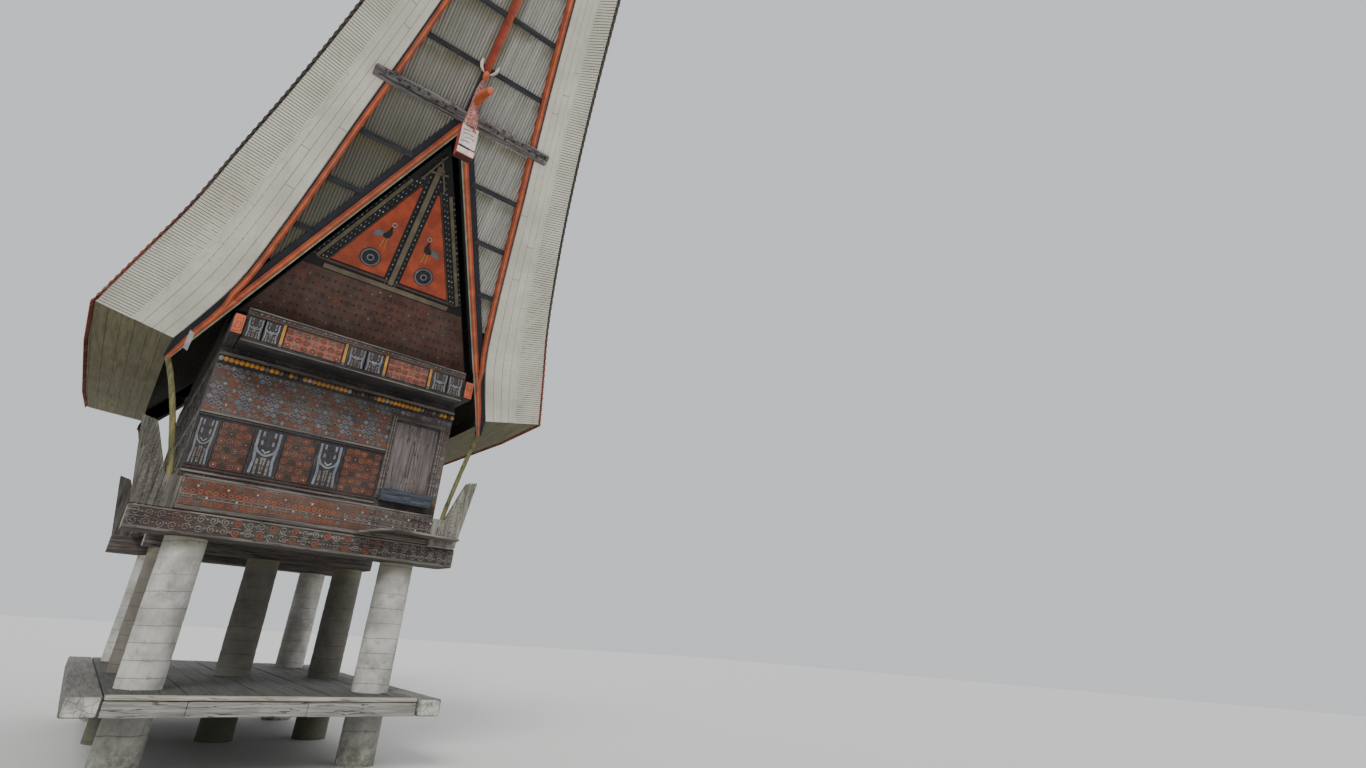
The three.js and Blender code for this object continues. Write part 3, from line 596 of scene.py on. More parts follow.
def figures(work, left, right, low, high, pitch, rise, opening=None):
    """A net of small diamonds in red, grey and bare wood, two colours by turns in each row."""
    columns, rows = round((right - left) / pitch), round((high - low) / rise)
    wide, tall = (right - left) / columns, (high - low) / rows
    for j in range(rows):
        for i in range(columns - j % 2):
            u, v = left + wide * (i + 0.5 + 0.5 * (j % 2)), low + tall * (j + 0.5)
            if opening and opening[0] < u < opening[1] and v < opening[2]:
                continue
            pick = (i * 5 + j * 3) % 7
            line = ROW_INKS[j % 6][(i // 2 + j // 2) % 2]
            work.ribbon(diamond(u, v, wide * 0.4, tall * 0.42), wide * 0.17, -0.008, 0.006, line, loop=True)
            work.plate(diamond(u, v, wide * 0.17, tall * 0.18), -0.008, 0.008, CENTRE_INKS[pick])
            if pick % 2:
                spot = diamond(u + wide / 2, v, wide * 0.1, tall * 0.1)
                work.plate(spot, -0.008, 0.005, GREY if pick == 3 else RED)


WALL_FACE, WALL_HALF, WALL_FOOT, WALL_TOP = 2.477, 1.49, 2.738, 4.68
ROW_LOW, ROW_HIGH = 3.2, 3.78
FIELD_LOW, FIELD_HIGH = 3.87, 4.45
BEAD_Z = 4.511
DOOR = (0.7245, 1.3355, 3.33, 4.2805)
DOOR_FRAME = ((0.69, 3.2), (0.69, 4.33), (1.37, 4.33), (1.37, 3.2))
FRONT_FIELDS = ((-1.485, 0.665, 3.855, 4.46), (0.665, 1.4, 4.35, 4.46), (1.4, 1.485, 3.2, 4.46))
FRONT_EDGES = (-1.48, -1.25, -0.88, -0.55, -0.165, 0.165, 0.64)
REAR_EDGES = (*FRONT_EDGES[:-1], 0.55, 0.88, 1.25, 1.48)
BEAD_PITCH = 0.055
FADED_AND_SHADED = len(PAINTS)


def end_wall(door):
    """One end wall; door is its opening (left, right, bottom, top), or nothing."""
    wall = Work(end_face(WALL_FACE))
    boards, fields = ((-WALL_HALF, WALL_HALF, WALL_FOOT, WALL_TOP),), ((-1.485, 1.485, 3.855, 4.46),)
    edges, rail_end, opening = REAR_EDGES, WALL_HALF, None
    if door:
        left, right, bottom, top = door
        boards = (
            (-WALL_HALF, left, WALL_FOOT, WALL_TOP),
            (right, WALL_HALF, WALL_FOOT, WALL_TOP),
            (left, right, WALL_FOOT, bottom),
            (left, right, top, WALL_TOP),
        )
        fields, edges, rail_end, opening = FRONT_FIELDS, FRONT_EDGES, 0.66, (0.63, 1.43, 4.39)
    for board in boards:
        wall.plate(oblong(*board), -0.058, -0.004, DUSTY)
    for field in fields:
        wall.plate(oblong(*field), -0.01, 0.001, FADED_AND_SHADED)
    for k, (left, right) in enumerate(zip(edges, edges[1:])):
        if k % 2:
            scrolls(wall, left, right, ROW_LOW, ROW_HIGH, 6, BROWN, 0.24, inset=0.012)
        else:
            buffalo(wall, left + 0.008, right - 0.008, ROW_LOW, ROW_HIGH)
    for v, finish in ((3.13, BARE), (3.176, BROWN), (3.81, BLACK), (3.845, BARE)):
        wall.ribbon([(-1.485, v), (rail_end, v)], 0.022, -0.01, 0.01, finish)
    figures(wall, -1.48, 1.48, FIELD_LOW, FIELD_HIGH, 0.074, 0.064, opening)
    if door:
        figures(wall, 1.4, 1.48, ROW_LOW, FIELD_LOW, 0.08, 0.067)
        wall.ribbon(DOOR_FRAME, 0.055, -0.01, 0.03, BARE)
        wall.ribbon(DOOR_FRAME, 0.014, 0.025, 0.034, BROWN)
    for k in range(54):
        bead = []
        for j in range(5):
            radius = 0.012 + 0.021 * math.sin(math.pi * (0.12 + 0.76 * j / 4))
            across = -1.455 + k * BEAD_PITCH + (j - 2) * 0.0125
            ring = disc(0, 0, 1, 6)
            bead.append([(across, -WALL_FACE - 0.034 - c * radius, BEAD_Z + s * radius) for c, s in ring])
        gilt = math.sin(k * 0.36) + 0.5 * math.sin(k * 1.9) > -0.45
        wall.body(bead, (OCHRE if k % 9 else WHITE) if gilt else BROWN if k % 3 else BARE)
    wall.plate(oblong(-1.488, 1.488, 4.462, 4.56), -0.01, 0.02, BLACK)
    wall.plate(oblong(-1.488, 1.488, 4.562, 4.6), -0.01, 0.04, BARE)
    return wall


# the ground of the wall fields: faded paint, darkened a little as painted shade under the eave
WALL_PAINTS = [*PAINTS, paint("faded_and_shaded_field_paint", (75, 66, 63), 0.4, 0.8, 0.4)]
# the end walls get a darker brown than the sills and cornices: painted shade under the roof
WALL_PAINTS[BROWN] = paint("shaded_brown_paint", (64, 43, 34), 0.4, 0.75, 0.15)
end_wall(DOOR).piece("front_wall_carved", WALL_PAINTS, "carved_wood", ["front_wall"])
rear = end_wall(None).piece("rear_wall_source", WALL_PAINTS, "carved_wood")
turned(rear, "rear_wall_carved", ["rear_wall"])
bpy.data.objects.remove(rear)


# Store door
# A small leaf of two dark boards closes the store high in the front wall. It stands on a
# thick sill block, and a warped step board on the tie beam below helps to reach it.
door_timber = timber("grey_door_board", "z", (72, 65, 63), (112, 104, 102), (80, 66, 58), 0.6)
sill_timber = timber("door_sill_timber", "x", (36, 40, 48), (66, 72, 82), (44, 44, 48), 0.6)
step_timber = timber("step_board_timber", "x", (80, 76, 69), (124, 118, 108), (70, 68, 60), 0.5)
STEP_LINE = ((0.47, 2.70), (0.60, 2.745), (0.85, 2.80), (1.10, 2.80), (1.40, 2.785), (1.76, 2.78))
STEP_LEFT, STEP_RIGHT, STEP_BACK, STEP_FRONT = 0.47, 1.76, -2.6025, -2.868
STEP_RINGS = 40
LEAF_Y, LEAF_LOW, LEAF_HIGH = -2.449, 3.332, 4.278
LEAF_EDGES = ((0.726, 1.029), (1.031, 1.334))


def along_line(line, at):
    """Height of a line of points at a distance along its first value."""
    for (a, low), (b, high) in zip(line, line[1:]):
        if at <= b:
            break
    share = (at - a) / (b - a)
    return low + (high - low) * share


door = Work(end_face(2.464))
for left, right in LEAF_EDGES:
    middle, halves = ((left + right) / 2, LEAF_Y), ((right - left) / 2, 0.02)
    door.balk("z", (LEAF_LOW, LEAF_HIGH), middle, halves, worn=0.003, soft=0.006, step=0.12, seed=left)
for v in (3.5, 4.1):
    door.ribbon([(0.75, v), (1.31, v)], 0.07, -0.005, 0.006)
door.piece("store_door_leaf", [door_timber], "weathered_wood", ["upper_door"])
ledge = Work()
ledge.balk("x", (0.692, 1.368), (-2.553, 3.24), (0.0735, 0.0885), soft=0.02, step=0.08)
ledge.piece("store_door_sill", [sill_timber], "weathered_wood", ["door_sill"])
rings = []
for k in range(STEP_RINGS):
    x = STEP_LEFT + (STEP_RIGHT - STEP_LEFT) * k / (STEP_RINGS - 1)
    near = [min(max(x + d, STEP_LEFT), STEP_RIGHT) for d in (-0.09, 0.0, 0.09)]
    top = sum(along_line(STEP_LINE, at) for at in near) / 3 - 0.001
    low = top - 0.027
    curl = 0.004 * noise.noise(Vector((x * 3, 0, 0)))
    front = STEP_FRONT + 0.05 * max(0.0, (0.62 - x) / 0.15) ** 2 + curl
    middle = (front + STEP_BACK) / 2
    ring = [(STEP_BACK, top), (middle, top - 0.001 + curl), (front + 0.003, top), (front, top - 0.006)]
    ring += [(front, top - 0.02), (front + 0.003, top - 0.026), (middle, low), (STEP_BACK, low)]
    rings.append([(x, y, z) for y, z in ring])
step = Work()
step.body(rings)
step.piece("step_board_warped", [step_timber], "weathered_wood", ["step_board"])


# Side walls
# Posts and rails with carved boards let in, never painted, so they have gone grey. A
# thick rail runs along the foot between the tie beams.
side_timber = timber("grey_side_board", "z", (62, 59, 57), (106, 101, 97), (70, 72, 82), 0.6)
side_rail = timber("grey_side_rail", "y", (64, 59, 54), (112, 105, 97), (76, 74, 60), 0.6)
BAYS, SIDE_HALF = 6, 2.41
BAY = 2 * SIDE_HALF / BAYS
BOARD, RAIL = 0, 1
SLIM = {"worn": 0.002, "soft": 0.005, "step": 0.2}


def side_face(side, face):
    """Places points on the outside of a side wall; u runs to the rear."""
    return lambda u, v, out: (side * (face + out), u, v)


for side, label in BOTH_SIDES:
    wall = Work(side_face(side, 1.478))
    wall.plate(oblong(-2.414, 2.414, WALL_FOOT, WALL_TOP), -0.045, 0.0, BOARD)
    for k in range(BAYS + 1):
        y = min(max(-SIDE_HALF + BAY * k, -2.38), 2.38)
        wall.balk("z", (2.74, 4.678), (side * 1.474, y), (0.016, 0.032), RAIL, seed=k, **SLIM)
    for z in (3.12, 3.86, 4.62):
        wall.balk("y", SIDE_HALF, (side * 1.473, z), (0.015, 0.04), RAIL, seed=z, **SLIM)
    wall.balk("y", 2.098, (side * 1.55, 2.878), (0.058, 0.196), RAIL, worn=0.005, soft=0.014, seed=side)
    for k in range(BAYS):
        u = -SIDE_HALF + BAY * (k + 0.5)
        for v in (3.49, 4.24):
            for size in (1.0, 0.68):
                lozenge = diamond(u, v, 0.27 * size * 1.05, 0.27 * size)
                wall.ribbon(lozenge, 0.03, -0.004, 0.009, BOARD, loop=True)
            wall.ribbon(scroll(u, v, 0.1, 1.6, 1 if k % 2 else -1), 0.022, -0.004, 0.009, BOARD)
            for du, dv in ((-1, -1), (-1, 1), (1, -1), (1, 1)):
                corner = scroll(u + du * 0.26, v + dv * 0.24, 0.065, 1.3, du * dv, 0, 16)
                wall.ribbon(corner, 0.016, -0.004, 0.008, BOARD)
    wall.place = side_face(side, 1.602)
    for k in range(34):
        rail = scroll(-2.02 + k * 0.1225, 2.88, 0.047, 1.5, 1 if k % 2 else -1, k * 0.9)
        wall.ribbon(rail, 0.013, -0.008, 0.005, RAIL)
    wall.piece("side_wall_boarded_" + label, [side_timber, side_rail], "weathered_wood", [label + "_wall"])


# Corner boards
# Thick boards cut to a flare and pegged to the ends of the tie beams, carved with a net of
# lines. A slim bamboo pole leans out from the back of each to the foot of the rafter.
board_timber = timber("grey_corner_board", "z", (92, 89, 81), (142, 138, 128), (84, 86, 72), 0.6)
# a darker copy of the corner board timber: painted shade for the boards on the left side
shaded_board = timber("dark_corner_board", "z", (62, 59, 54), (104, 99, 91), (58, 60, 48), 0.6)
pole_bamboo = timber("olive_bamboo_pole", "z", (74, 70, 42), (116, 109, 66), (62, 64, 38), 0.5)
BAMBOO = 1
BOARD_OUTER = ((1.823, 2.679), (1.963, 3.5), (1.983, 3.638))
BOARD_INNER = ((1.837, 3.598), (1.792, 3.5), (1.612, 3.04), (1.443, 3.038))
CARVED_LEFT = ((2.6, 1.47), (3.04, 1.65), (3.5, 1.835), (3.7, 1.88))
CARVED_RIGHT = [(v, u) for u, v in BOARD_OUTER]
POLE_LINE = (
    (1.57, -2.566, 2.99),
    (1.615, -2.566, 3.25),
    (1.735, -2.532, 3.75),
    (1.865, -2.442, 4.17),
    (1.95, -2.345, 4.396),
)


def curved(points, parts=6):
    """A smooth line through points."""
    line = []
    last = len(points) - 1
    for k in range(last):
        near = [points[min(max(k + d, 0), last)] for d in (-1, 0, 1, 2)]
        for j in range(parts):
            t = j / parts
            point = []
            for a, b, c, d in zip(*near):
                bend = (2 * a - 5 * b + 4 * c - d) * t * t + (3 * b - a - 3 * c + d) * t**3
                point.append(0.5 * (2 * b + (c - a) * t + bend))
            line.append(tuple(point))
    return [*line, tuple(points[-1])]


def tube(work, stations, finish, flat=1.0, sides=12):
    """A rounded body through stations of centre and radius, flatter or wider across."""
    rings = []
    for k, (centre, radius) in enumerate(stations):
        before, after = stations[max(k - 1, 0)][0], stations[min(k + 1, len(stations) - 1)][0]
        run = (Vector(after) - Vector(before)).normalized()
        side = run.cross(Vector((0, -0.3, 1))).normalized() if abs(run.z) < 0.97 else Vector((1, 0, 0))
        over = side.cross(run).normalized()
        ring = []
        for turn in range(sides):
            angle = turn / sides * math.tau
            across = side * (math.cos(angle) * radius * flat)
            ring.append(Vector(centre) + across + over * (math.sin(angle) * radius))
        rings.append(ring)
    work.body(rings, finish)


def corner_face(x_side, y_side):
    """Places points on the outer face of a corner board; u runs away from the middle."""
    return lambda u, v, out: (x_side * u, y_side * (2.596 + out), v)


outer_side, inner_side = curved(BOARD_OUTER), curved(BOARD_INNER[:3])
for x_side, x_label in BOTH_SIDES:
    for y_side, y_label in ((-1, "front"), (1, "rear")):
        corner = Work(corner_face(x_side, y_side))
        corner.plate([(1.443, 2.679), *outer_side, *inner_side, BOARD_INNER[3]], -0.06, 0.0)
        for edge, inward in ((outer_side, -0.018), (inner_side, 0.018)):
            corner.ribbon([(u + inward, v) for u, v in edge[1:-1]], 0.02, -0.005, 0.005)
        for k in range(13):
            v = 2.75 + k * 0.07
            left, right = along_line(CARVED_LEFT, v), along_line(CARVED_RIGHT, v) - 0.045
            half = max(0.012, (right - left) / 4)
            for middle in (left + half, right - half):
                corner.ribbon(diamond(middle, v, half * 0.9, 0.03), 0.009, -0.005, 0.005, loop=True)
        pole = curved([(x_side * x, -y_side * y, z) for x, y, z in POLE_LINE])
        tube(corner, [(point, 0.032 - 0.003 * (k % 5 == 2)) for k, point in enumerate(pole)], BAMBOO)
        name = f"corner_board_{y_label}_{x_label}"
        # the boards on the left side take the darker timber as painted shade
        boards = shaded_board if x_side < 0 else board_timber
        corner.piece("flared_" + name, [boards, pole_bamboo], "pale_board", [name], 50)


# Wall plates
# Long timbers on top of the side walls that carry the roof. Their ends stand out under
# the gables, painted orange, with a square spiral cut into the end of each.
orange_paint = paint("orange_lacquer_paint", (198, 90, 48), 0.35, 0.6, 0.15)
plate_dark = timber("dark_plate_timber", "y", (38, 35, 32), (70, 64, 58), (48, 42, 36), 0.6)
PLATE_X, PLATE_Z, PLATE_REACH = 1.4325, 4.81, 3.037
UPPER_Z, UPPER_REACH = 5.12, 1.898
SQUARE_TURNS = ((-1, -1), (1, -1), (1, 1), (-1, 1))
LACQUER, PLAIN, SPIRAL, DARK_SIDE = range(4)
for side, label in BOTH_SIDES:
    plate = Work()
    middle = side * PLATE_X
    wear = {"worn": 0.003, "soft": 0.01, "seed": side}
    lower, upper = (middle, PLATE_Z), (middle, UPPER_Z)
    plate.balk("y", PLATE_REACH, lower, (0.0605, 0.1285), DARK_SIDE, step=0.16, ends=LACQUER, **wear)
    plate.balk("y", UPPER_REACH, upper, (0.06, 0.2), PLAIN, step=0.2, **wear)
    for end in (-1, 1):
        square = []
        for k in range(9):
            reach = 0.046 - 0.0048 * k
            cu, cv = SQUARE_TURNS[k % 4]
            square.append((middle + cu * reach, PLATE_Z + cv * reach * 2.1))
        plate.place = lambda u, v, out: (u, end * (3.034 + out), v)
        plate.ribbon(square, 0.01, -0.004, 0.0055, SPIRAL)
    finishes = [orange_paint, side_rail, red_paint, plate_dark]
    plate.piece("wall_plate_timber_" + label, finishes, "orange_timber", ["wall_plate_" + label])


# Cornices
# A shallow carved box stands out over each end wall between the plates: grey buffalo
# panels and red scroll panels parted by yellow strips, under a row of dots.
CORNICE_HALF, CORNICE_FACE = 1.368, 2.988
CORNICE_LOW, CORNICE_HIGH = 4.69, 4.96
CORNICE_PANELS = ((-1.35, -0.99), (-0.93, -0.27), (-0.2, 0.24), (0.31, 0.84), (0.91, 1.35))
CORNICE_PAINTS = [*PAINTS]
CORNICE_PAINTS[RED] = paint("cornice_red_paint", (160, 84, 60), 0.45, 0.75, 0.25)
cornice = Work(end_face(CORNICE_FACE))
cornice.plate(oblong(-CORNICE_HALF, CORNICE_HALF, 4.631, 5.068), -0.105, -0.004, DUSTY)
cornice.plate(oblong(-CORNICE_HALF, CORNICE_HALF, 4.682, 5.066), -0.57, -0.1, BLACK)
for k, (left, right) in enumerate(CORNICE_PANELS):
    if k % 2:
        scrolls(cornice, left, right, CORNICE_LOW, CORNICE_HIGH, 3, RED, 0.26, (BROWN, BARE))
    else:
        half = (left + right) / 2
        buffalo(cornice, left, half, CORNICE_LOW, CORNICE_HIGH)
        buffalo(cornice, half, right, CORNICE_LOW, CORNICE_HIGH)
for u in (-0.96, -0.235, 0.275, 0.875):
    cornice.ribbon([(u, 4.68), (u, 4.97)], 0.032, -0.005, 0.009, OCHRE)
    cornice.ribbon([(u, 4.68), (u, 4.72)], 0.034, -0.005, 0.0095, BARE)
rail_half = CORNICE_HALF - 0.003
for v, finish in ((4.647, BARE), (4.668, BLACK), (4.983, BROWN), (5.052, BARE)):
    cornice.ribbon([(-rail_half, v), (rail_half, v)], 0.016, -0.01, 0.0105, finish)
for k in range(44):
    cornice.plate(disc(-1.29 + k * 0.06, 5.017, 0.011, 8), -0.01, 0.007, (BROWN, GREY, RED, BARE)[k % 4])
cornice.both_ends("cornice_{}_carved", CORNICE_PAINTS, "painted_panel", "cornice_{}")


# Gable boards
# Boards set back between the gable rafters. Two orange fields hold a sun disc with a
# cock above it; black dotted bands run up beside them, over a dark red carved band.
LEAN, LEAN_Y, LEAN_Z = 0.87, 2.53, 4.59
SLOPE = math.hypot(1.0, LEAN)
RECESS = 0.25
GABLE_FOOT, GABLE_HEAD, GABLE_HALF = 5.0703, 7.32, 1.487
GABLE_RATE = GABLE_HALF / (GABLE_HEAD - GABLE_FOOT)
BAND_PITCH = 0.075
SUN_U, SUN_V, COCK_U, COCK_V = 0.345, 6.005, 0.262, 6.27
DOT = 0.0095
BAND_LOW, BAND_HIGH, BAND_ROW = 5.09, 5.74, 0.086
FIELD_FOOT, FIELD_HEAD, FIELD_FALL = 5.86, 6.82, 0.646


def lean_at(z):
    return LEAN_Y + LEAN * (z - LEAN_Z)


def leaning(back):
    """Places points on the leaning front of the roof, at a depth behind its cut."""
    return lambda u, v, out: (u, -lean_at(v) + back - out / SLOPE, v - out * LEAN / SLOPE)


def gable_edge(z):
    return (GABLE_HEAD - z) * GABLE_RATE


def field_edge(z):
    return 0.75 - (z - FIELD_FOOT) * FIELD_FALL


def mirrored(side, outline):
    return [(side * u, v) for u, v in outline]


def round_disc(across, up, radius, count):
    """A disc that looks round on the lean."""
    return [(u, up + (v - up) / SLOPE) for u, v in disc(across, up, radius, count)]


night_black = paint("night_black_paint", (28, 29, 33), 0.25, 0.75, 0.05)
deep_red = paint("deep_red_paint", (92, 62, 53), 0.45, 0.8, 0.25)
field_orange = paint("gable_orange_paint", (176, 72, 38), 0.3, 0.65, 0.1)
olive_strip = paint("olive_strip_paint", (110, 100, 78), 0.4, 0.75, 0.2)
GABLE_PAINTS = PAINTS + [deep_red, field_orange, olive_strip]
GABLE_PAINTS[BLACK] = night_black
DEEP, FIELD, OLIVE = range(len(PAINTS), len(GABLE_PAINTS))
SUN_RADII = (0.125, 0.116, 0.094, 0.077, 0.064, 0.046, 0.026)
SUN = tuple(zip(SUN_RADII, (BLACK, GREY, BLACK, DUSTY, BLACK, GREY, BLACK)))
COCK = (
    (-0.05, -0.03), (0.0, -0.045), (0.04, -0.02), (0.05, 0.03), (0.035, 0.075), (0.03, 0.105), (0.01, 0.1),
    (0.005, 0.06), (-0.02, 0.025), (-0.05, 0.0),
)
TAIL = ((0.03, -0.02), (0.08, -0.035), (0.13, -0.06), (0.165, -0.045), (0.15, 0.0), (0.1, 0.03), (0.05, 0.03))
gable = Work(leaning(RECESS))
ground = [(-GABLE_HALF + 0.004, 5.0725), (GABLE_HALF - 0.004, 5.0725), (0.0, 7.3155)]
gable.plate(ground, -0.033, -0.004, BLACK)
band_corners = ((-1, BAND_LOW), (1, BAND_LOW), (1, BAND_HIGH), (-1, BAND_HIGH))
gable.plate([(side * gable_edge(v) * 0.985, v) for side, v in band_corners], -0.008, 0.003, DEEP)
for j in range(7):
    v = BAND_LOW + 0.05 + j * BAND_ROW
    count = int((gable_edge(v) - 0.08) / BAND_PITCH)
    for i in range(-count, count + 1):
        u = i * BAND_PITCH
        if (i + j) % 2:
            path = scroll(u, v, 0.03, 1.3, 1 if j % 2 else -1, i, 14)
            gable.ribbon(path, 0.009, 0.0, 0.009, BROWN if (i + 3 * j) % 5 else RED)
        else:
            gable.plate(disc(u, v, 0.011, 6), 0.0, 0.009, BLACK if (i * 3 + j) % 5 else GREY)
gable.ribbon([(-0.8, 5.775), (0.8, 5.775)], 0.045, -0.008, 0.02, OLIVE)
gable.ribbon([(-0.9, 5.832), (0.9, 5.832)], 0.02, -0.008, 0.01, BROWN)
for side in (-1, 1):
    field = ((0.1, FIELD_FOOT), (0.75, FIELD_FOOT), (0.125, FIELD_HEAD), (0.1, FIELD_HEAD))
    gable.plate(mirrored(side, field), -0.008, 0.004, FIELD)
    for away, wide, finish, raised in ((0.145, 0.04, OLIVE, 0.022), (0.012, 0.012, BROWN, 0.008)):
        line = [(field_edge(v) + away, v) for v in (5.84, 6.86)]
        gable.ribbon(mirrored(side, line), wide, -0.008, raised, finish)
    for away in (0.05, 0.09, 0.19):
        for k in range(24):
            v = FIELD_FOOT + 0.05 * k
            u = field_edge(v) + away
            if 0.12 < u < gable_edge(v) - 0.01:
                finish = (GREY, WHITE, GREY, BARE)[(k + round(away * 100)) % 4]
                gable.plate(disc(side * u, v, DOT, 6), -0.008, 0.004, finish)
    for k in range(27):
        v = 5.7 + 0.052 * k
        if 0.08 < gable_edge(v) - 0.04:
            gable.plate(disc(side * 0.065, v, DOT, 6), -0.008, 0.004, GREY if k % 3 else WHITE)
    for k, (radius, finish) in enumerate(SUN):
        gable.plate(round_disc(side * SUN_U, SUN_V, radius, 30), 0.0, 0.008 + 0.003 * k, finish)
    centre = side * COCK_U
    for outline, way, raised, finish in ((COCK, -side, 0.012, BLACK), (TAIL, side, 0.01, GREY)):
        gable.plate([(centre + way * u, COCK_V + v * 0.85) for u, v in outline], 0.0, raised, finish)
    comb = round_disc(centre - side * 0.035, 6.385, 0.026, 12)
    gable.ribbon(comb, 0.011, 0.0, 0.014, WHITE, loop=True)
    for leg in (-0.012, 0.016):
        path = [(centre + side * leg, 6.235), (centre + side * leg * 2.2, 6.13)]
        gable.ribbon(path, 0.012, 0.0, 0.01, OCHRE)
gable.ribbon([(0, 5.81), (0, 7.08)], 0.062, -0.008, 0.022, OLIVE)
for stick in (((-0.16, 6.9), (0.02, 7.2)), ((0.15, 6.88), (-0.03, 7.16)), ((-0.11, 7.0), (0.12, 7.03))):
    gable.ribbon(stick, 0.02, -0.008, 0.03, OLIVE)
gable.both_ends("gable_{}_painted", GABLE_PAINTS, "painted_panel", "gable_wall_{}")


# Bow frame
# Rafters follow the inner edge of the roof and the gable and meet at the eaves, orange on
# the face with a painted highlight down the middle, and a pale green edge. Outside them is
# black paint, which also stands for painted shadow in the gap under the flare and in the
# reveal down to the gable boards. Battens and a red pole hold the boarding.
INNER_EDGE = (
    (4.59, 1.96, 2.53), (5.23, 1.59, 3.087), (5.83, 1.39, 3.609), (6.43, 1.225, 4.131), (7.03, 1.07, 4.653),
    (7.63, 0.905, 5.175), (8.23, 0.75, 5.697), (9.03, 0.56, 6.393), (9.843, 0.38, 7.1),
)
OUTER_EDGE = (
    (4.7, 2.72, 2.77), (5.23, 2.47, 3.175), (5.83, 2.2, 3.6), (6.43, 1.985, 4.02), (7.03, 1.75, 4.54),
    (7.63, 1.53, 5.09), (8.23, 1.33, 5.64), (9.03, 1.08, 6.39), (9.83, 0.86, 7.1),
)
inner_edge, outer_edge = curved(INNER_EDGE, 10), curved(OUTER_EDGE, 10)
BATTENS = (5.95, 6.45, 6.95, 7.95, 8.44, 8.93, 9.42, 9.744)
BATTEN = (0.047, -0.0435, -0.0155)
TOE_FOOT, TOE_BEND, TOE_HEAD = 4.402, 4.74, 5.1
POLE_FOOT, POLE_PAINTED, BOW_TOP = 7.545, 7.93, 9.797


def inner_half(z):
    return along_line([row[:2] for row in inner_edge], z)


def off_gable(side, outline):
    """Turns distances from the edge of the gable boards into places on the lean."""
    return [(side * (gable_edge(v) + u), v) for u, v in outline]


def rafter(side, foot, near, far):
    """The straight strip of a gable rafter between two distances from the gable boards."""
    line = [(gable_edge(foot) + away, foot) for away in (near, far)]
    line += [(0.0005, GABLE_HEAD + away / GABLE_RATE) for away in (far, near)]
    return mirrored(side, line)


green_edge = paint("pale_green_paint", (150, 158, 132), 0.35, 0.75, 0.1)
rafter_orange = paint("rafter_orange_paint", (172, 76, 42), 0.35, 0.6, 0.15)
# a lighter orange strip down the middle of each rafter: painted highlight on its rounded face
rafter_highlight = paint("rafter_highlight_paint", (208, 112, 68), 0.3, 0.6, 0.15)
rafter_black = paint("rafter_black_paint", (34, 38, 46), 0.25, 0.7, 0.0)
batten_dark = timber("dark_batten", "x", (30, 34, 38), (58, 60, 64), (78, 62, 50), 0.4)
pole_red = paint("red_pole_paint", (158, 62, 42), 0.45, 0.7, 0.15)
limed_peg = paint("limed_peg", (186, 178, 184), 0.3, 0.75, 0.1)
BOW = [rafter_orange, rafter_black, green_edge, rafter_highlight, batten_dark, pole_red, limed_peg]
ORANGE, BLACK_AND_SHADOW, GREEN, HIGHLIGHT, DARK, POLE, PEG = range(7)
RAFTER_FACES = (
    (0.002, 0.018, -0.004, GREEN),
    (0.0185, 0.046, -0.007, ORANGE),
    (0.046, 0.072, -0.003, HIGHLIGHT),
    (0.072, 0.1, -0.008, ORANGE),
)
line = [(2.0, 4.401), (1.99, 4.46), *((u, v) for v, u, _ in inner_edge if v < 9.76)]
line.append((inner_half(9.798), 9.798))
lower = [(u, v) for u, v in line if v < 5.2]
upper = [(gable_edge(v) + away, v) for v, away in ((4.9, 0.12), (5.02, 0.135))]
upper += [(u, v) for u, v in line if v > 5.12]
# black strips along the flare edge and at the foot: black paint, with painted shadow of the gap under the
# flare
BOW_STRIPS = (
    (line, 0.0105, 0.017, 0.008, BLACK_AND_SHADOW),
    (lower, 0.05, 0.062, 0.001, BLACK_AND_SHADOW),
    (upper, 0.029, 0.022, 0.016, ORANGE),
    (upper, 0.049, 0.022, 0.0195, HIGHLIGHT),
    (upper, 0.071, 0.023, 0.013, ORANGE),
)
bow = Work(leaning(0.0))
for side in (-1, 1):
    for path, inward, wide, high, finish in BOW_STRIPS:
        bow.ribbon([(side * (u - inward), v) for u, v in path], wide, -0.075, high, finish)
    toe = ((0.0015, TOE_FOOT), (0.0015, TOE_HEAD), (0.183, TOE_HEAD), (0.148, 4.95), (0.064, TOE_FOOT))
    bow.plate(off_gable(side, toe), -0.074, 0.002, BLACK_AND_SHADOW)
    for near, far, raised, finish in RAFTER_FACES:
        strip = [(near * 0.5, TOE_FOOT), (near, TOE_BEND), (near, TOE_HEAD)]
        strip += [(far, TOE_HEAD), (far, TOE_BEND), (far * 0.5, TOE_FOOT)]
        bow.plate(off_gable(side, strip), -0.06, raised + 0.02, finish)
        bow.plate(rafter(side, 5.08, near, far), -0.06, raised, finish)
    # a black body behind the gable rafters: black board outside them, painted shadow on the reveal down to
    # the gable boards
    bow.plate(rafter(side, 5.0705, 0.001, 0.184), -0.222, -0.024, BLACK_AND_SHADOW)
    for z in BATTENS[:3]:
        ends = [(gable_edge(z) + 0.14, z), (inner_half(z) - 0.06, z)]
        bow.ribbon(mirrored(side, ends), *BATTEN, DARK)
left = -gable_edge(4.6) - 0.05
bow.plate([(left, 4.53), (left + 0.05, 4.51), (left + 0.058, 4.69), (left + 0.008, 4.71)], -0.02, 0.0175, PEG)
for z in BATTENS[3:]:
    half = inner_half(z) - 0.06
    bow.ribbon([(-half, z), (half, z)], *BATTEN, DARK)
POLES = ((-0.032, 0.022, -0.004, POLE), (-0.008, 0.03, 0.007, POLE), (0.022, 0.034, 0.003, ORANGE))
for u, wide, high, finish in POLES:
    bow.ribbon([(u, POLE_FOOT), (u, POLE_PAINTED)], wide, -0.0435, high, DARK)
    bow.ribbon([(u, POLE_PAINTED), (u, BOW_TOP)], wide, -0.0435, high, finish)
bow.both_ends("bow_frame_{}_painted", BOW, "orange_timber", "bow_frame_{}")


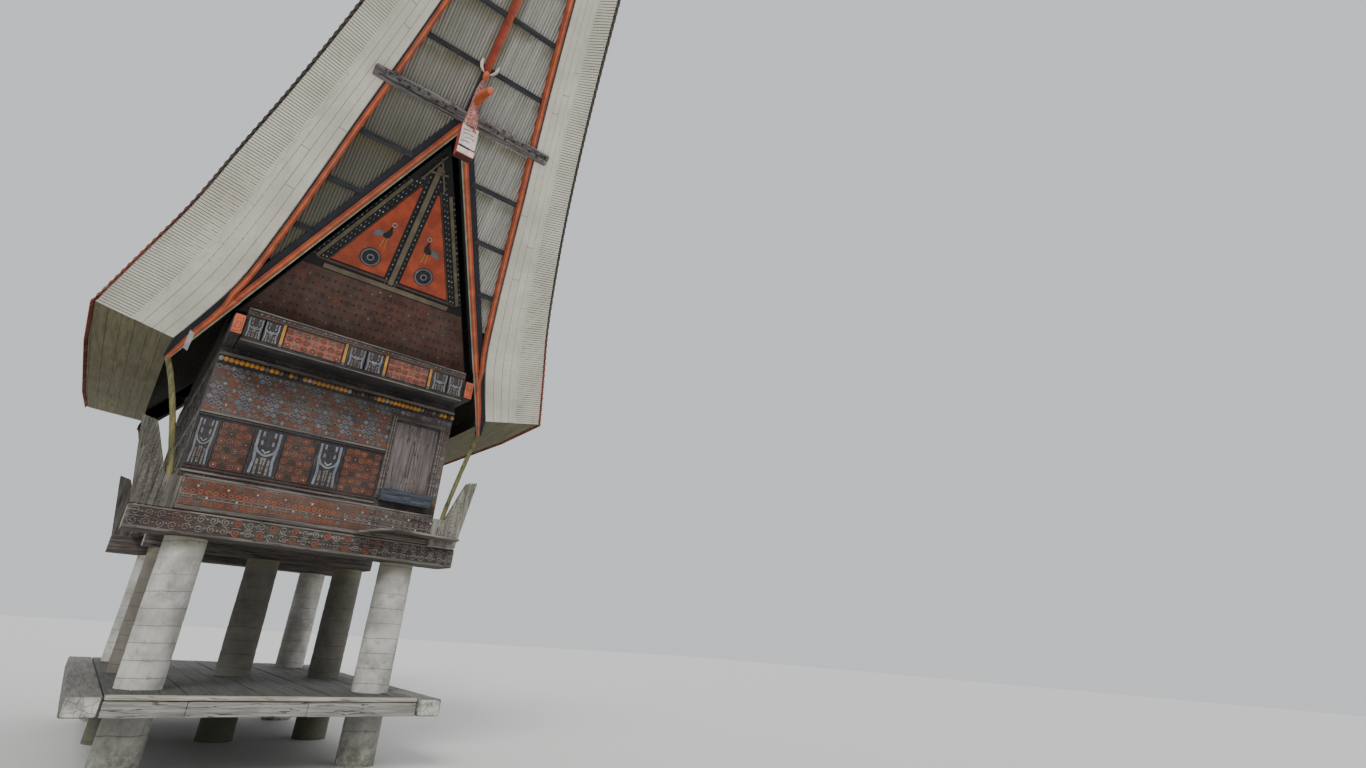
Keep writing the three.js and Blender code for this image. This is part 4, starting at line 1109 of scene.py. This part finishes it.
# Boarding of the bows
# Split bamboo slats lie side by side up the lean behind the frame. They are silver grey
# with dark gaps, and stained brown and olive below the battens and beside the pole.
SLAT = 0.036
SLAT_RING = ((-1.0, -0.055), (-0.6, -0.0475), (0.0, -0.0445), (0.6, -0.0475), (1.0, -0.055), (0.0, -0.0695))
SOFFIT_FOOT = 5.562


def slat_finish():
    finish = Finish("grey_split_bamboo")
    lean = abs(finish.y) - finish.z * LEAN
    streak = finish.noise(2.0, 5, 0.7, finish.vector(finish.x * 40, lean * 20, finish.z * 1.3))
    cloud = finish.noise(1.6, 4, 0.6)
    upper = (finish.z > 7.68) * 0.5
    below = ((finish.z - 5.95 - upper * 0.02) % 0.497) / 0.497
    beside = abs(finish.x).rise(0.17, 0.05) * cloud.rise(0.3, 0.6)
    stain = (below.rise(0.66, 0.98) * cloud.rise(0.38, 0.56)).most(beside)
    colour = finish.coats(
        tone(132, 131, 125),
        (streak.rise(0.3, 0.68), (190, 188, 180)),
        (finish.cell(finish.x / SLAT) * 0.35, (136, 134, 122)),
        # darker and more olive over the left half, darkest low on the left: painted shade, with stain
        (finish.x.rise(0.2, -0.5) * 0.55, (104, 103, 88)),
        (finish.z.rise(7.7, 6.9) * finish.x.rise(0.0, -0.4) * 0.7, (66, 64, 50)),
        (stain * 0.6, (100, 92, 64)),
        (streak.rise(0.64, 0.74) * 0.55, (56, 54, 50)),
    )
    return finish.surface(colour, 0.7 + cloud * 0.2, streak, 0.003)


split_bamboo = slat_finish()
boards = Work(leaning(0.0))
inner_line = [(u, v) for v, u, _ in reversed(inner_edge)]
for k in range(-40, 40):
    u = (k + 0.5) * SLAT
    low = max(SOFFIT_FOOT, GABLE_HEAD - (abs(u) + SLAT / 2 - 0.185) / GABLE_RATE)
    high = min(BOW_TOP, along_line(inner_line, max(abs(u) + 0.067, 0.39)))
    if high - low < 0.04:
        continue
    jitter = 0.0015 * math.sin(k * 2.4) - 0.0015
    ring = [(u + share * SLAT * 0.47, out + jitter * (out > -0.06)) for share, out in SLAT_RING]
    levels = (low, (low + high) / 2, high)
    boards.body([[boards.place(across, v, out) for across, out in ring] for v in levels])
boards.both_ends("bow_boarding_{}", [split_bamboo], "bamboo", "soffit_{}")


# Cross beams
# A rough adzed timber lies across the rafters under each bow. Its face keeps the last of
# its carving, worn by rain, and its ends are split and dark.
cross_timber = timber("rain_worn_timber", "x", (60, 57, 57), (138, 132, 130), (104, 86, 84), 0.7)
cross_split = timber("dark_split_timber", "x", (34, 32, 32), (66, 61, 60), (50, 42, 40), 0.8)
CROSS_Z, CROSS_FORWARD, CROSS_HALF = 7.4415, 0.0727, 1.108
WORN_FACE, DARK_END, CUT = range(3)
cross = Work(leaning(-0.1))
middle = Vector((0.0, -lean_at(CROSS_Z) - CROSS_FORWARD, CROSS_Z))
reach = Vector((CROSS_HALF, 0, 0))
up_slope = Vector((0.0, -LEAN, 1.0)) * 0.0535
rough = {"worn": 0.014, "soft": 0.016, "step": 0.05, "ends": DARK_END}
cross.beam(middle - reach, middle + reach, (0, 0.0385, 0), up_slope, WORN_FACE, **rough)
for k in range(19):
    u = -1.0 + k * 0.111
    if abs(u) > 0.13:
        eye = scroll(u, CROSS_Z + 0.012 + 0.01 * math.sin(k * 2.0), 0.034, 1.3, 1 if k % 2 else -1, k, 14)
        cross.ribbon(eye, 0.013, -0.015, 0.0135, WORN_FACE)
        cross.plate(disc(u + 0.055, CROSS_Z + 0.016 * math.cos(k * 1.7), 0.014, 7), -0.015, 0.0125, CUT)
        peak = CROSS_Z - 0.03 - 0.006 * (k % 2)
        cut = [(u - 0.05, CROSS_Z - 0.035), (u, peak), (u + 0.06, CROSS_Z - 0.037)]
        cross.ribbon(cut, 0.007, -0.015, 0.0115, CUT)
cross_paints = [cross_timber, batten_dark, cross_split]
cross.both_ends("cross_beam_{}_adzed", cross_paints, "weathered_wood", "cross_beam_{}")


# Carved figure
# A bird's head on a slim neck, cut from one timber, stands on a limed block against the
# cross beam. Its blunt beak points to the front; a pale crescent lies behind its crest.
def figure_finish():
    finish = Finish("pink_patterned_paint")
    net = finish.net(22.0)
    cloud = finish.noise(9.0, 4)
    colour = finish.coats(
        tone(186, 156, 150),
        (net.rise(0.02, 0.12), (140, 70, 62)),
        (cloud.rise(0.38, 0.58) * 0.8, (122, 80, 72)),
    )
    return finish.surface(colour, 0.75, net.least(0.1) * 6.0, 0.004)


pink_pattern = figure_finish()
block_white = paint("limed_block", (214, 204, 198), 0.35, 0.7, 0.1)
block_red = paint("red_block_side", (160, 54, 50), 0.4, 0.7, 0.1)
beak_orange = paint("orange_beak", (204, 98, 50), 0.35, 0.6, 0.1)
horn_cream = paint("cream_horn", (226, 214, 190), 0.3, 0.6, 0.1)
block_foot = paint("dark_red_block_foot", (74, 34, 30), 0.4, 0.7, 0.1)
figure_paints = [beak_orange, block_white, block_red, horn_cream, pink_pattern, rafter_black, block_foot]
BEAK, LIME, SIDE, CREAM, PINK, INK, FOOT = range(7)
FIGURE_BACK, BLOCK_LOW, BLOCK_HIGH = 5.1765, 6.764, 7.177
# forward, height, radius; the neck has its depth and its width instead of one radius
NECK = (
    (5.25, 7.15, 0.0715, 0.088), (5.25, 7.25, 0.0715, 0.084), (5.25, 7.33, 0.07, 0.076),
    (5.247, 7.4, 0.067, 0.068), (5.25, 7.5, 0.068, 0.052), (5.265, 7.58, 0.07, 0.048),
    (5.288, 7.66, 0.062, 0.047), (5.32, 7.72, 0.05, 0.042), (5.357, 7.78, 0.034, 0.034),
)
BEAK_LINE = (
    (5.3, 7.55, 0.05), (5.38, 7.55, 0.058), (5.47, 7.532, 0.058), (5.56, 7.5, 0.053), (5.64, 7.465, 0.049),
    (5.7, 7.438, 0.046), (5.722, 7.429, 0.045), (5.727, 7.427, 0.038),
)
NAPE_LINE = ((5.33, 7.72, 0.036), (5.372, 7.785, 0.031), (5.392, 7.81, 0.026), (5.402, 7.822, 0.014))
CREST_LINE = (
    (5.4, 7.815, 0.016), (5.41, 7.829, 0.03), (5.43, 7.853, 0.037),
    (5.446, 7.876, 0.036), (5.456, 7.898, 0.026), (5.459, 7.908, 0.012),
)
figure = Work(end_face(FIGURE_BACK + 0.119))
block = (0, -FIGURE_BACK - 0.062)
wear = {"worn": 0.001, "soft": 0.008, "step": 0.2, "ends": FOOT}
figure.balk("z", (BLOCK_LOW, BLOCK_HIGH), block, (0.102, 0.0595), SIDE, **wear)
figure.plate(oblong(-0.098, 0.1, 6.88, 7.172), -0.01, 0.003, LIME)
figure.plate([(-0.09, 6.862), (0.03, 6.85), (0.03, 6.878), (-0.09, 6.884)], -0.01, 0.006, INK)
figure.plate(oblong(-0.1, 0.1, 6.775, 6.852), -0.01, 0.005, CREAM)
figure.plate([(0.02, 7.125), (0.075, 7.11), (0.07, 7.155), (0.03, 7.16)], 0.0, 0.005, BEAK)
for v, low, high in ((7.11, -0.08, 0.0), (7.06, -0.07, 0.05), (7.01, -0.04, 0.075), (6.95, -0.08, 0.02)):
    figure.ribbon([(low, v - 0.008), (0.0, v + 0.008), (high, v - 0.004)], 0.012, 0.0, 0.005, PINK)
rings = []
for forward, z, deep, wide in NECK:
    circle = disc(0, 0, 1, 16)
    rings.append([Vector((wide * c, -forward - deep * s, z + 0.3 * deep * s)) for c, s in circle])
figure.body(rings, PINK)
for line, finish, flat in ((BEAK_LINE, BEAK, 0.85), (NAPE_LINE, PINK, 1.0), (CREST_LINE, BEAK, 1.0)):
    tube(figure, [((0.0, -forward, z), radius) for forward, z, radius in line], finish, flat)
horns = curved([(-0.103, 7.995), (-0.085, 7.925), (0.0, 7.885), (0.085, 7.925), (0.103, 7.995)], 5)
for low, high, finish in ((0, 9, CREAM), (8, len(horns) - 8, BEAK), (len(horns) - 9, len(horns), CREAM)):
    part = horns[low:high]
    stations = []
    for k, (x, z) in enumerate(part):
        share = math.sin(math.pi * (0.1 + 0.8 * k / (len(part) - 1)))
        centre = Vector((x, -lean_at(z) - 0.0403, z))
        stations.append((centre, 0.0195 * share if finish == CREAM else 0.011))
    tube(figure, stations, finish, sides=10)
figure.piece("carved_bird_head", figure_paints, "orange_timber", ["bird_figure"], 40)


# Roof shells
# Two thick slopes of layered bamboo meet at the ridge. Fine bamboo splints face the outer
# part of their flared ends, smooth boards the rest, all under an old cream coat.
def flare_finish():
    finish = Finish("cream_limed_flare")
    lean = abs(finish.y) - finish.z * LEAN
    cloud = finish.noise(1.1, 5, 0.6)
    speck = finish.noise(24.0, 4, 0.6)
    drip = finish.noise(1.6, 5, 0.65, finish.vector(finish.x * 9, lean * 3, finish.z * 1.6))
    colour = finish.coats(
        tone(192, 189, 173),
        (cloud.rise(0.3, 0.7), (222, 219, 203)),
        (drip.rise(0.56, 0.72) * 0.35, (164, 161, 143)),
        (speck.rise(0.6, 0.76) * 0.45, (146, 142, 126)),
    )
    return finish.surface(colour, 0.72 + cloud * 0.15, speck * 0.6 + drip * 0.4, 0.003)


def under_finish():
    finish = Finish("olive_eave_boards")
    streak = finish.noise(2.0, 5, 0.65, finish.vector(finish.x * 12, finish.y * 1.1, finish.z * 1.2))
    cloud = finish.noise(1.4, 4)
    board = finish.x / 0.13
    joint = abs(board % 1.0 - 0.5).rise(0.47, 0.5)
    colour = finish.coats(
        tone(84, 80, 54),
        (streak.rise(0.3, 0.7), (116, 110, 78)),
        (finish.cell(board) * 0.45, (86, 88, 66)),
        (cloud.rise(0.5, 0.7) * 0.5, (84, 70, 46)),
        (joint * 0.45, (54, 50, 35)),
    )
    return finish.surface(colour, 0.8, streak * 0.4 - joint, 0.006)


flare_cream = flare_finish()
flare_gap = paint("flare_gap_shadow", (112, 108, 94), 0.3, 0.85, 0.1)
eave_olive = under_finish()
bamboo_dark = timber("dark_roof_bamboo", "y", (42, 38, 31), (70, 64, 50), (52, 45, 32), 0.5)
RIDGE_LOW, RIDGE_RISE, TIP = 7.93, 2.52, 7.15
MIDDLE_DEPTH, TIP_LOSS = 0.8, 0.35
SHEET_GAP, SPLIT = 0.006, 0.001
SHOULDER = 0.15
EAVE_OUTER, EAVE_INNER, EAVE_STEP = (2.75, 4.65), (1.97, 4.57), 0.14
FLARE, EAVE, LAYERS = range(3)
FLARE_START = 2.6
UNDER_FACE = 3  # the side of a section between its outer and its inner edge


def ridge_height(y):
    return RIDGE_LOW + RIDGE_RISE * (y / TIP) ** 2


def half_edges():
    """Outer and inner edge of the roof from the middle of one side to its tip."""
    edges = [[(x, EAVE_STEP * k, z) for x, z in (EAVE_OUTER, EAVE_INNER)] for k in range(11)]
    flare = [[(x, y, z) for z, x, y in pair] for pair in zip(outer_edge, inner_edge)]
    for share in (0.25, 0.5, 0.75):
        pair = []
        for start, end in zip(edges[10], flare[0]):
            pair.append(tuple(a + (b - a) * share for a, b in zip(start, end)))
        edges.append(pair)
    return edges + flare


half = half_edges()
tip_to_tip = [[(x, -y, z) for x, y, z in pair] for pair in reversed(half[1:])] + half
SECTIONS = [((outer[1] + inner[1]) / 2, outer, inner) for outer, inner in tip_to_tip]
for side, label in BOTH_SIDES:
    shell = Work()
    rings = []
    for y, outer, inner in SECTIONS:
        ridge = ridge_height(y)
        depth = MIDDLE_DEPTH - TIP_LOSS * (y / TIP) ** 2
        beside = ridge + (outer[2] - ridge) * SHOULDER / outer[0]
        points = (
            (SPLIT, y, ridge - SHEET_GAP),
            (SHOULDER, y + (outer[1] - y) * SHOULDER / outer[0], beside - SHEET_GAP),
            (outer[0], outer[1], outer[2] - SHEET_GAP),
            inner,
            (inner[0] - 0.002, inner[1], inner[2] + 0.18),
            (SPLIT, y, ridge - depth),
        )
        rings.append([(side * px, py, pz) for px, py, pz in points])
    rows = shell.rows(rings)
    for one, two in zip(rows, rows[1:]):
        for k in range(6):
            flared = abs(one[k].co.y + two[k].co.y) / 2 > FLARE_START
            finish = LAYERS if k != UNDER_FACE else FLARE if flared else EAVE
            shell.face((one[k - 1], one[k], two[k], two[k - 1]), finish)
    for row in (rows[0], rows[-1]):
        shell.face((row[0], row[1], row[4], row[5]), LAYERS)
        shell.face((row[1], row[2], row[3], row[4]), LAYERS)
    shell.piece("roof_slope_" + label, [flare_cream, eave_olive, bamboo_dark], "bamboo", ["roof_" + label])

SPLINT = 0.034
COAT, GAP = 0, 1
SPLINT_RING = ((-1.0, -0.005), (-0.85, 0.0105), (0.85, 0.0105), (1.0, -0.005))
DROP = 2.5  # stations by which the splints sink towards the inner edge
FLARE_TOP = len(outer_edge) - 1


def flare_point(side, t, share):
    """On the front of a flare: t points up its edges, share from the outer to the inner one."""
    t = min(max(t - DROP * share * min(1.0, t / 14), 0.0), FLARE_TOP - 0.001)
    k = int(t)
    outer, inner = (Vector(line[k]).lerp(Vector(line[k + 1]), t - k) for line in (outer_edge, inner_edge))
    z, x, y = outer.lerp(inner, share)
    return Vector((side * x, -y, z - SHEET_GAP * (1 - share)))


def flare_run(side, t, share):
    return flare_point(side, t + 0.3, share) - flare_point(side, t - 0.3, share)


def flare_out(side, t, share):
    across = flare_point(side, t, share + 0.05) - flare_point(side, t, share - 0.05)
    out = across.cross(flare_run(side, t, share)).normalized()
    return -out if out.y > 0 else out


def flare_strip(skin, side, stations, low, high, raised, finish):
    """A thin board up the flare between two shares of its width."""
    rings = []
    for t in stations:
        out = flare_out(side, t, (low + high) / 2)
        near, far = flare_point(side, t, low), flare_point(side, t, high)
        rings.append([near - out * 0.005, near + out * raised, far + out * raised, far - out * 0.005])
    skin.body(rings, finish)


def flare_skin(side, name):
    """Facing of one flared end at the front: splints outside, boards with joints inside."""
    skin = Work()
    flare_strip(skin, side, [t * 0.9875 + 0.5 for t in range(FLARE_TOP)], 0.004, 0.994, 0.0025, GAP)
    rest, number = 0.4 * SPLINT, 0
    for k, (one, two) in enumerate(zip(outer_edge, outer_edge[1:])):
        length = (Vector(two) - Vector(one)).length
        while rest < length:
            t = k + rest / length
            along = flare_run(side, t, 0.2).normalized() * (0.42 * SPLINT)
            reach = 0.475 + 0.018 * math.sin(number * 0.9) + 0.015 * math.sin(number * 0.21)
            rings = []
            for share in (0.004 + 0.006 * abs(math.sin(number * 1.3)), reach / 2, reach):
                point, out = flare_point(side, t, share), flare_out(side, t, share)
                rings.append([point + along * across + out * high for across, high in SPLINT_RING])
            skin.body(rings, COAT)
            rest += SPLINT
            number += 1
        rest -= length
    for j in range(4):
        low, t = 0.435 + j * 0.14, 0.08
        while t < FLARE_TOP - 1:
            top = t + 24 + (j * 11 + int(t) * 7) % 17
            top = FLARE_TOP - 0.3 if FLARE_TOP - top < 8 else top
            parts = round((top - t) / 3)
            stations = [t + (top - 0.07 - t) * m / parts for m in range(parts + 1)]
            raised = 0.0055 + 0.0014 * ((j * 5 + int(t)) % 3)
            flare_strip(skin, side, stations, low, low + 0.134, raised, COAT)
            t = top
    return skin.piece(name, [flare_cream, flare_gap], "bamboo", (), 40)


for side, label, other in ((-1, "left", "right"), (1, "right", "left")):
    skin = flare_skin(side, "flare_facing_front_" + label)
    turned(skin, "flare_facing_rear_" + other)


# Roof sheets
# Corrugated iron, once red, nailed over the bamboo in courses that lap down the slope.
# Rust blooms through the paint, rain leaves pale streaks, and every sheet ages apart.
def sheet_finish():
    finish = Finish("rusted_red_sheet")
    streak = finish.noise(1.5, 5, 0.65, finish.vector(finish.x * 0.6, finish.y * 15, finish.z * 0.6))
    fine = finish.noise(1.7, 4, 0.6, finish.vector(finish.x, finish.y * 40, finish.z))
    bloom = finish.noise(1.7, 6, 0.65)
    speck = finish.noise(19.0, 5, 0.7)
    sheet = finish.cell(finish.y / 0.72 + (finish.z / 1.35).whole() * 7.3)
    rim = (abs(finish.y) - finish.z * LEAN).rise(-1.67, -1.63) * finish.z.rise(5.0, 6.2)
    colour = finish.coats(
        tone(148, 72, 56),
        (bloom.rise(0.38, 0.66), (110, 54, 42)),
        (sheet * 0.6, (174, 98, 78)),
        (streak.rise(0.52, 0.72) * 0.6, (188, 158, 142)),
        (fine.rise(0.55, 0.72) * 0.4, (96, 50, 38)),
        (speck.rise(0.55, 0.72) * 0.5, (86, 46, 32)),
        (rim * 0.85, (62, 74, 70)),
    )
    return finish.surface(colour, 0.5 + bloom * 0.4, speck + fine * 0.5, 0.0015, 0.15)


rusted_sheet = sheet_finish()
WAVE, WAVE_PARTS = 0.076, 6
COURSES = 4
SHEET_RING = ((0.0, 0.0), (0.5, 0.0), (1.0, 0.0), (1.0, 0.0012), (0.5, 0.0012), (0.0, 0.0012))


def section_at(place):
    """Ridge station and outer edge of the roof at a fraction of the list of sections."""
    k = min(int(place), len(SECTIONS) - 2)
    share = place - k
    (ya, oa, _), (yb, ob, _) = SECTIONS[k], SECTIONS[k + 1]
    return ya + (yb - ya) * share, Vector(oa).lerp(Vector(ob), share)


def roof_stations(step):
    """Fractions of the list of sections, evenly spaced along the outer edge."""
    stations, rest = [], 0.0
    for k in range(len(SECTIONS) - 1):
        (ya, oa, _), (yb, ob, _) = SECTIONS[k], SECTIONS[k + 1]
        length = (abs(yb - ya) + (Vector(ob) - Vector(oa)).length) / 2
        at = rest
        while at < length:
            stations.append(k + at / length)
            at += step
        rest = at - length
    return [*stations, len(SECTIONS) - 1.0]


for side, label in BOTH_SIDES:
    sheets = Work()
    stations = roof_stations(WAVE / WAVE_PARTS)
    for course in range(COURSES):
        rings = []
        for number, place in enumerate(stations):
            y, outer = section_at(place)
            top = Vector((0.0, y, ridge_height(y)))
            length = (outer - top).length
            down = (outer - top) / length
            off = Vector((-down.z, 0.0, down.x)).normalized()
            wave = 0.5 + 0.5 * math.cos(number / WAVE_PARTS * math.tau)
            low = max(0.0, course / COURSES - 0.01) * length + (0.02 if course == 0 else 0.0)
            high = (course + 1) / COURSES * length + (0.045 if course == COURSES - 1 else 0.0)
            ring = []
            for share, thick in SHEET_RING:
                lift = 0.0056 + 0.01 * wave + 0.0022 * share + thick
                point = top + down * (low + (high - low) * share) + off * lift
                ring.append((side * point.x, point.y, point.z))
            rings.append(ring)
        sheets.body(rings)
    sheets.piece("corrugated_roof_" + label, [rusted_sheet], "roof_sheet", ["roof_sheet_" + label], 60)


# Ridge cap
# Folded iron laid over the ridge in short lengths that lap, following its curve from tip
# to tip. It is dark with rust and grey along both edges.
def cap_finish():
    finish = Finish("dark_ridge_iron")
    bloom = finish.noise(3.1, 6, 0.65)
    speck = finish.noise(26.0, 4, 0.7)
    colour = finish.coats(
        tone(66, 62, 62),
        (bloom.rise(0.4, 0.66), (104, 62, 48)),
        (abs(finish.x).rise(0.1, 0.14) * 0.7, (136, 134, 132)),
        (speck.rise(0.58, 0.74) * 0.5, (48, 36, 32)),
    )
    return finish.surface(colour, 0.5 + bloom * 0.35, speck, 0.0015, 0.3)


ridge_iron = cap_finish()
LENGTHS = 16
CAP_HALF, CAP_FOLD, CAP_THICK = 0.146, 0.07, 0.0015
CAP_LIFT, LAP_RISE = 0.0185, 0.006
CAP_UNDER = [(x, 0.0) for x in (-CAP_HALF, -CAP_FOLD, 0.0, CAP_FOLD, CAP_HALF)]
CAP_RING = CAP_UNDER + [(x, CAP_THICK) for x, _ in reversed(CAP_UNDER)]
cap = Work()
stations = roof_stations(0.1)
group = max(2, round(len(stations) / LENGTHS))
for start in range(0, len(stations) - 1, group):
    part = stations[start : start + group + 1]
    rings = []
    for number, place in enumerate(part):
        y, outer = section_at(place)
        ridge = ridge_height(y)
        slope = (ridge - outer[2]) / outer[0]
        fall = math.hypot(1.0, slope)
        lift = CAP_LIFT + LAP_RISE * number / len(part)
        ring = []
        for x, thick in CAP_RING:
            share = abs(x) / outer[0]
            ring.append((x, y + (outer[1] - y) * share, ridge - slope * abs(x) + (lift + thick) * fall))
        rings.append(ring)
    cap.body(rings)
cap.piece("ridge_cap_folded", [ridge_iron], "ridge_metal", ["ridge_cap"], 30)


# Tip caps
# Three lapped bands of pale blue sheet close each tip over the last rafters. Their edges
# are turned and have lost their paint to white and grey.
def tip_finish():
    finish = Finish("pale_blue_sheet")
    cloud = finish.noise(2.6, 5, 0.6)
    speck = finish.noise(22.0, 4, 0.65)
    colour = finish.coats(
        tone(132, 144, 166),
        (cloud.rise(0.35, 0.68), (178, 188, 206)),
        (speck.rise(0.6, 0.76) * 0.6, (96, 92, 92)),
    )
    return finish.surface(colour, 0.45 + cloud * 0.3, speck, 0.0015, 0.25)


tip_blue = tip_finish()
edge_white = paint("worn_white_edge", (206, 206, 204), 0.4)
BLUE, WORN, SHADOW = range(3)
TIP_BACK = 7.102
TALLER = 1.35  # the turned edges are this much taller at the peak
tip = Work(end_face(0.0))
for k in range(3):
    half, peak, edge, face = 0.9 - 0.035 * k, 10.5 - 0.15 * k, 9.96 - 0.1 * k, 7.24 - 0.025 * k
    outline = [(-half, edge), (-half, edge - 0.1), (0, peak - 0.152)]
    outline += [(half, edge - 0.1), (half, edge), (0, peak)]
    tip.plate(outline, TIP_BACK, face - 0.004, BLUE)
    for low, high, finish in ((0.0, 0.018, WORN), (0.085, 0.103, SHADOW)):
        foot, head = edge - high, edge - low - 0.001
        strip = [(-half, foot), (0, peak - 0.012 - high * TALLER), (half, foot)]
        strip += [(half, head), (0, peak - 0.001 - low * TALLER), (-half, head)]
        tip.plate(strip, face - 0.02, face, finish)
tip.both_ends("tip_cap_{}_lapped", [tip_blue, edge_white, black_paint], "tip_metal", "tip_cap_{}", 30)


# Store floor
# Planks on the tie beams close the store from below; only their undersides show, dark
# and dusty between the beams.
floor_timber = timber("store_floor_plank", "y", (60, 54, 48), (92, 84, 74), (64, 60, 50))
store_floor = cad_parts["store_floor"]
store_floor.data.materials.clear()
store_floor.data.materials.append(floor_timber.material)
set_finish(store_floor, "weathered_wood")


# Ground, light and camera
# A plain pale floor under soft studio light. The camera stands where the picture was
# taken, low beside the front left corner, looking up along the house.
def plain_ground():
    finish = Finish("pale_studio_floor")
    share = finish.noise(0.6, 3) * 0.3
    return finish.surface(finish.coats(tone(196, 195, 192), (share, (188, 187, 184))), 0.9)


FLOOR_HALF = 80
mesh = bpy.data.meshes.new("studio_floor")
corners = oblong(-FLOOR_HALF, FLOOR_HALF, -FLOOR_HALF, FLOOR_HALF)
mesh.from_pydata([(x, y, 0) for x, y in corners], [], [(0, 1, 2, 3)])
mesh.materials.append(plain_ground().material)
studio_floor = bpy.data.objects.new("studio_floor", mesh)
bpy.context.scene.collection.objects.link(studio_floor)

world = bpy.data.worlds.new("studio_air")
bpy.context.scene.world = world
world.use_nodes = True
air = world.node_tree.nodes["Background"].inputs
air["Color"].default_value = (0.86, 0.89, 0.92, 1.0)
air["Strength"].default_value = 0.85
LAMPS = (("key", 2.7, 25, (52, 0, -38)), ("fill", 0.8, 90, (70, 0, 60)), ("back", 0.9, 60, (60, 0, 160)))
for name, energy, angle, turn in LAMPS:
    light = bpy.data.lights.new(name, "SUN")
    light.energy = energy
    light.angle = math.radians(angle)
    lamp = bpy.data.objects.new(name, light)
    lamp.rotation_euler = [math.radians(a) for a in turn]
    bpy.context.scene.collection.objects.link(lamp)

FOCAL_PIXELS, PICTURE_WIDE, SENSOR_WIDE = 678.7, 1366, 36.0
yaw, pitch, roll = (math.radians(a) for a in (39.08, 21.01, 4.14))
forward = Vector((math.sin(yaw) * math.cos(pitch), math.cos(yaw) * math.cos(pitch), math.sin(pitch)))
level = Vector((math.cos(yaw), -math.sin(yaw), 0.0))
upright = level.cross(forward)
right = level * math.cos(roll) + upright * math.sin(roll)
up = upright * math.cos(roll) - level * math.sin(roll)
camera = bpy.data.objects.new("camera", bpy.data.cameras.new("camera"))
camera.data.sensor_width = SENSOR_WIDE
camera.data.lens = SENSOR_WIDE * FOCAL_PIXELS / PICTURE_WIDE
camera.data.clip_end = 300.0
camera.matrix_world = Matrix((right, up, -forward)).transposed().to_4x4()
camera.location = (-1.966, -12.028, 1.643)
bpy.context.scene.collection.objects.link(camera)
bpy.context.scene.camera = camera
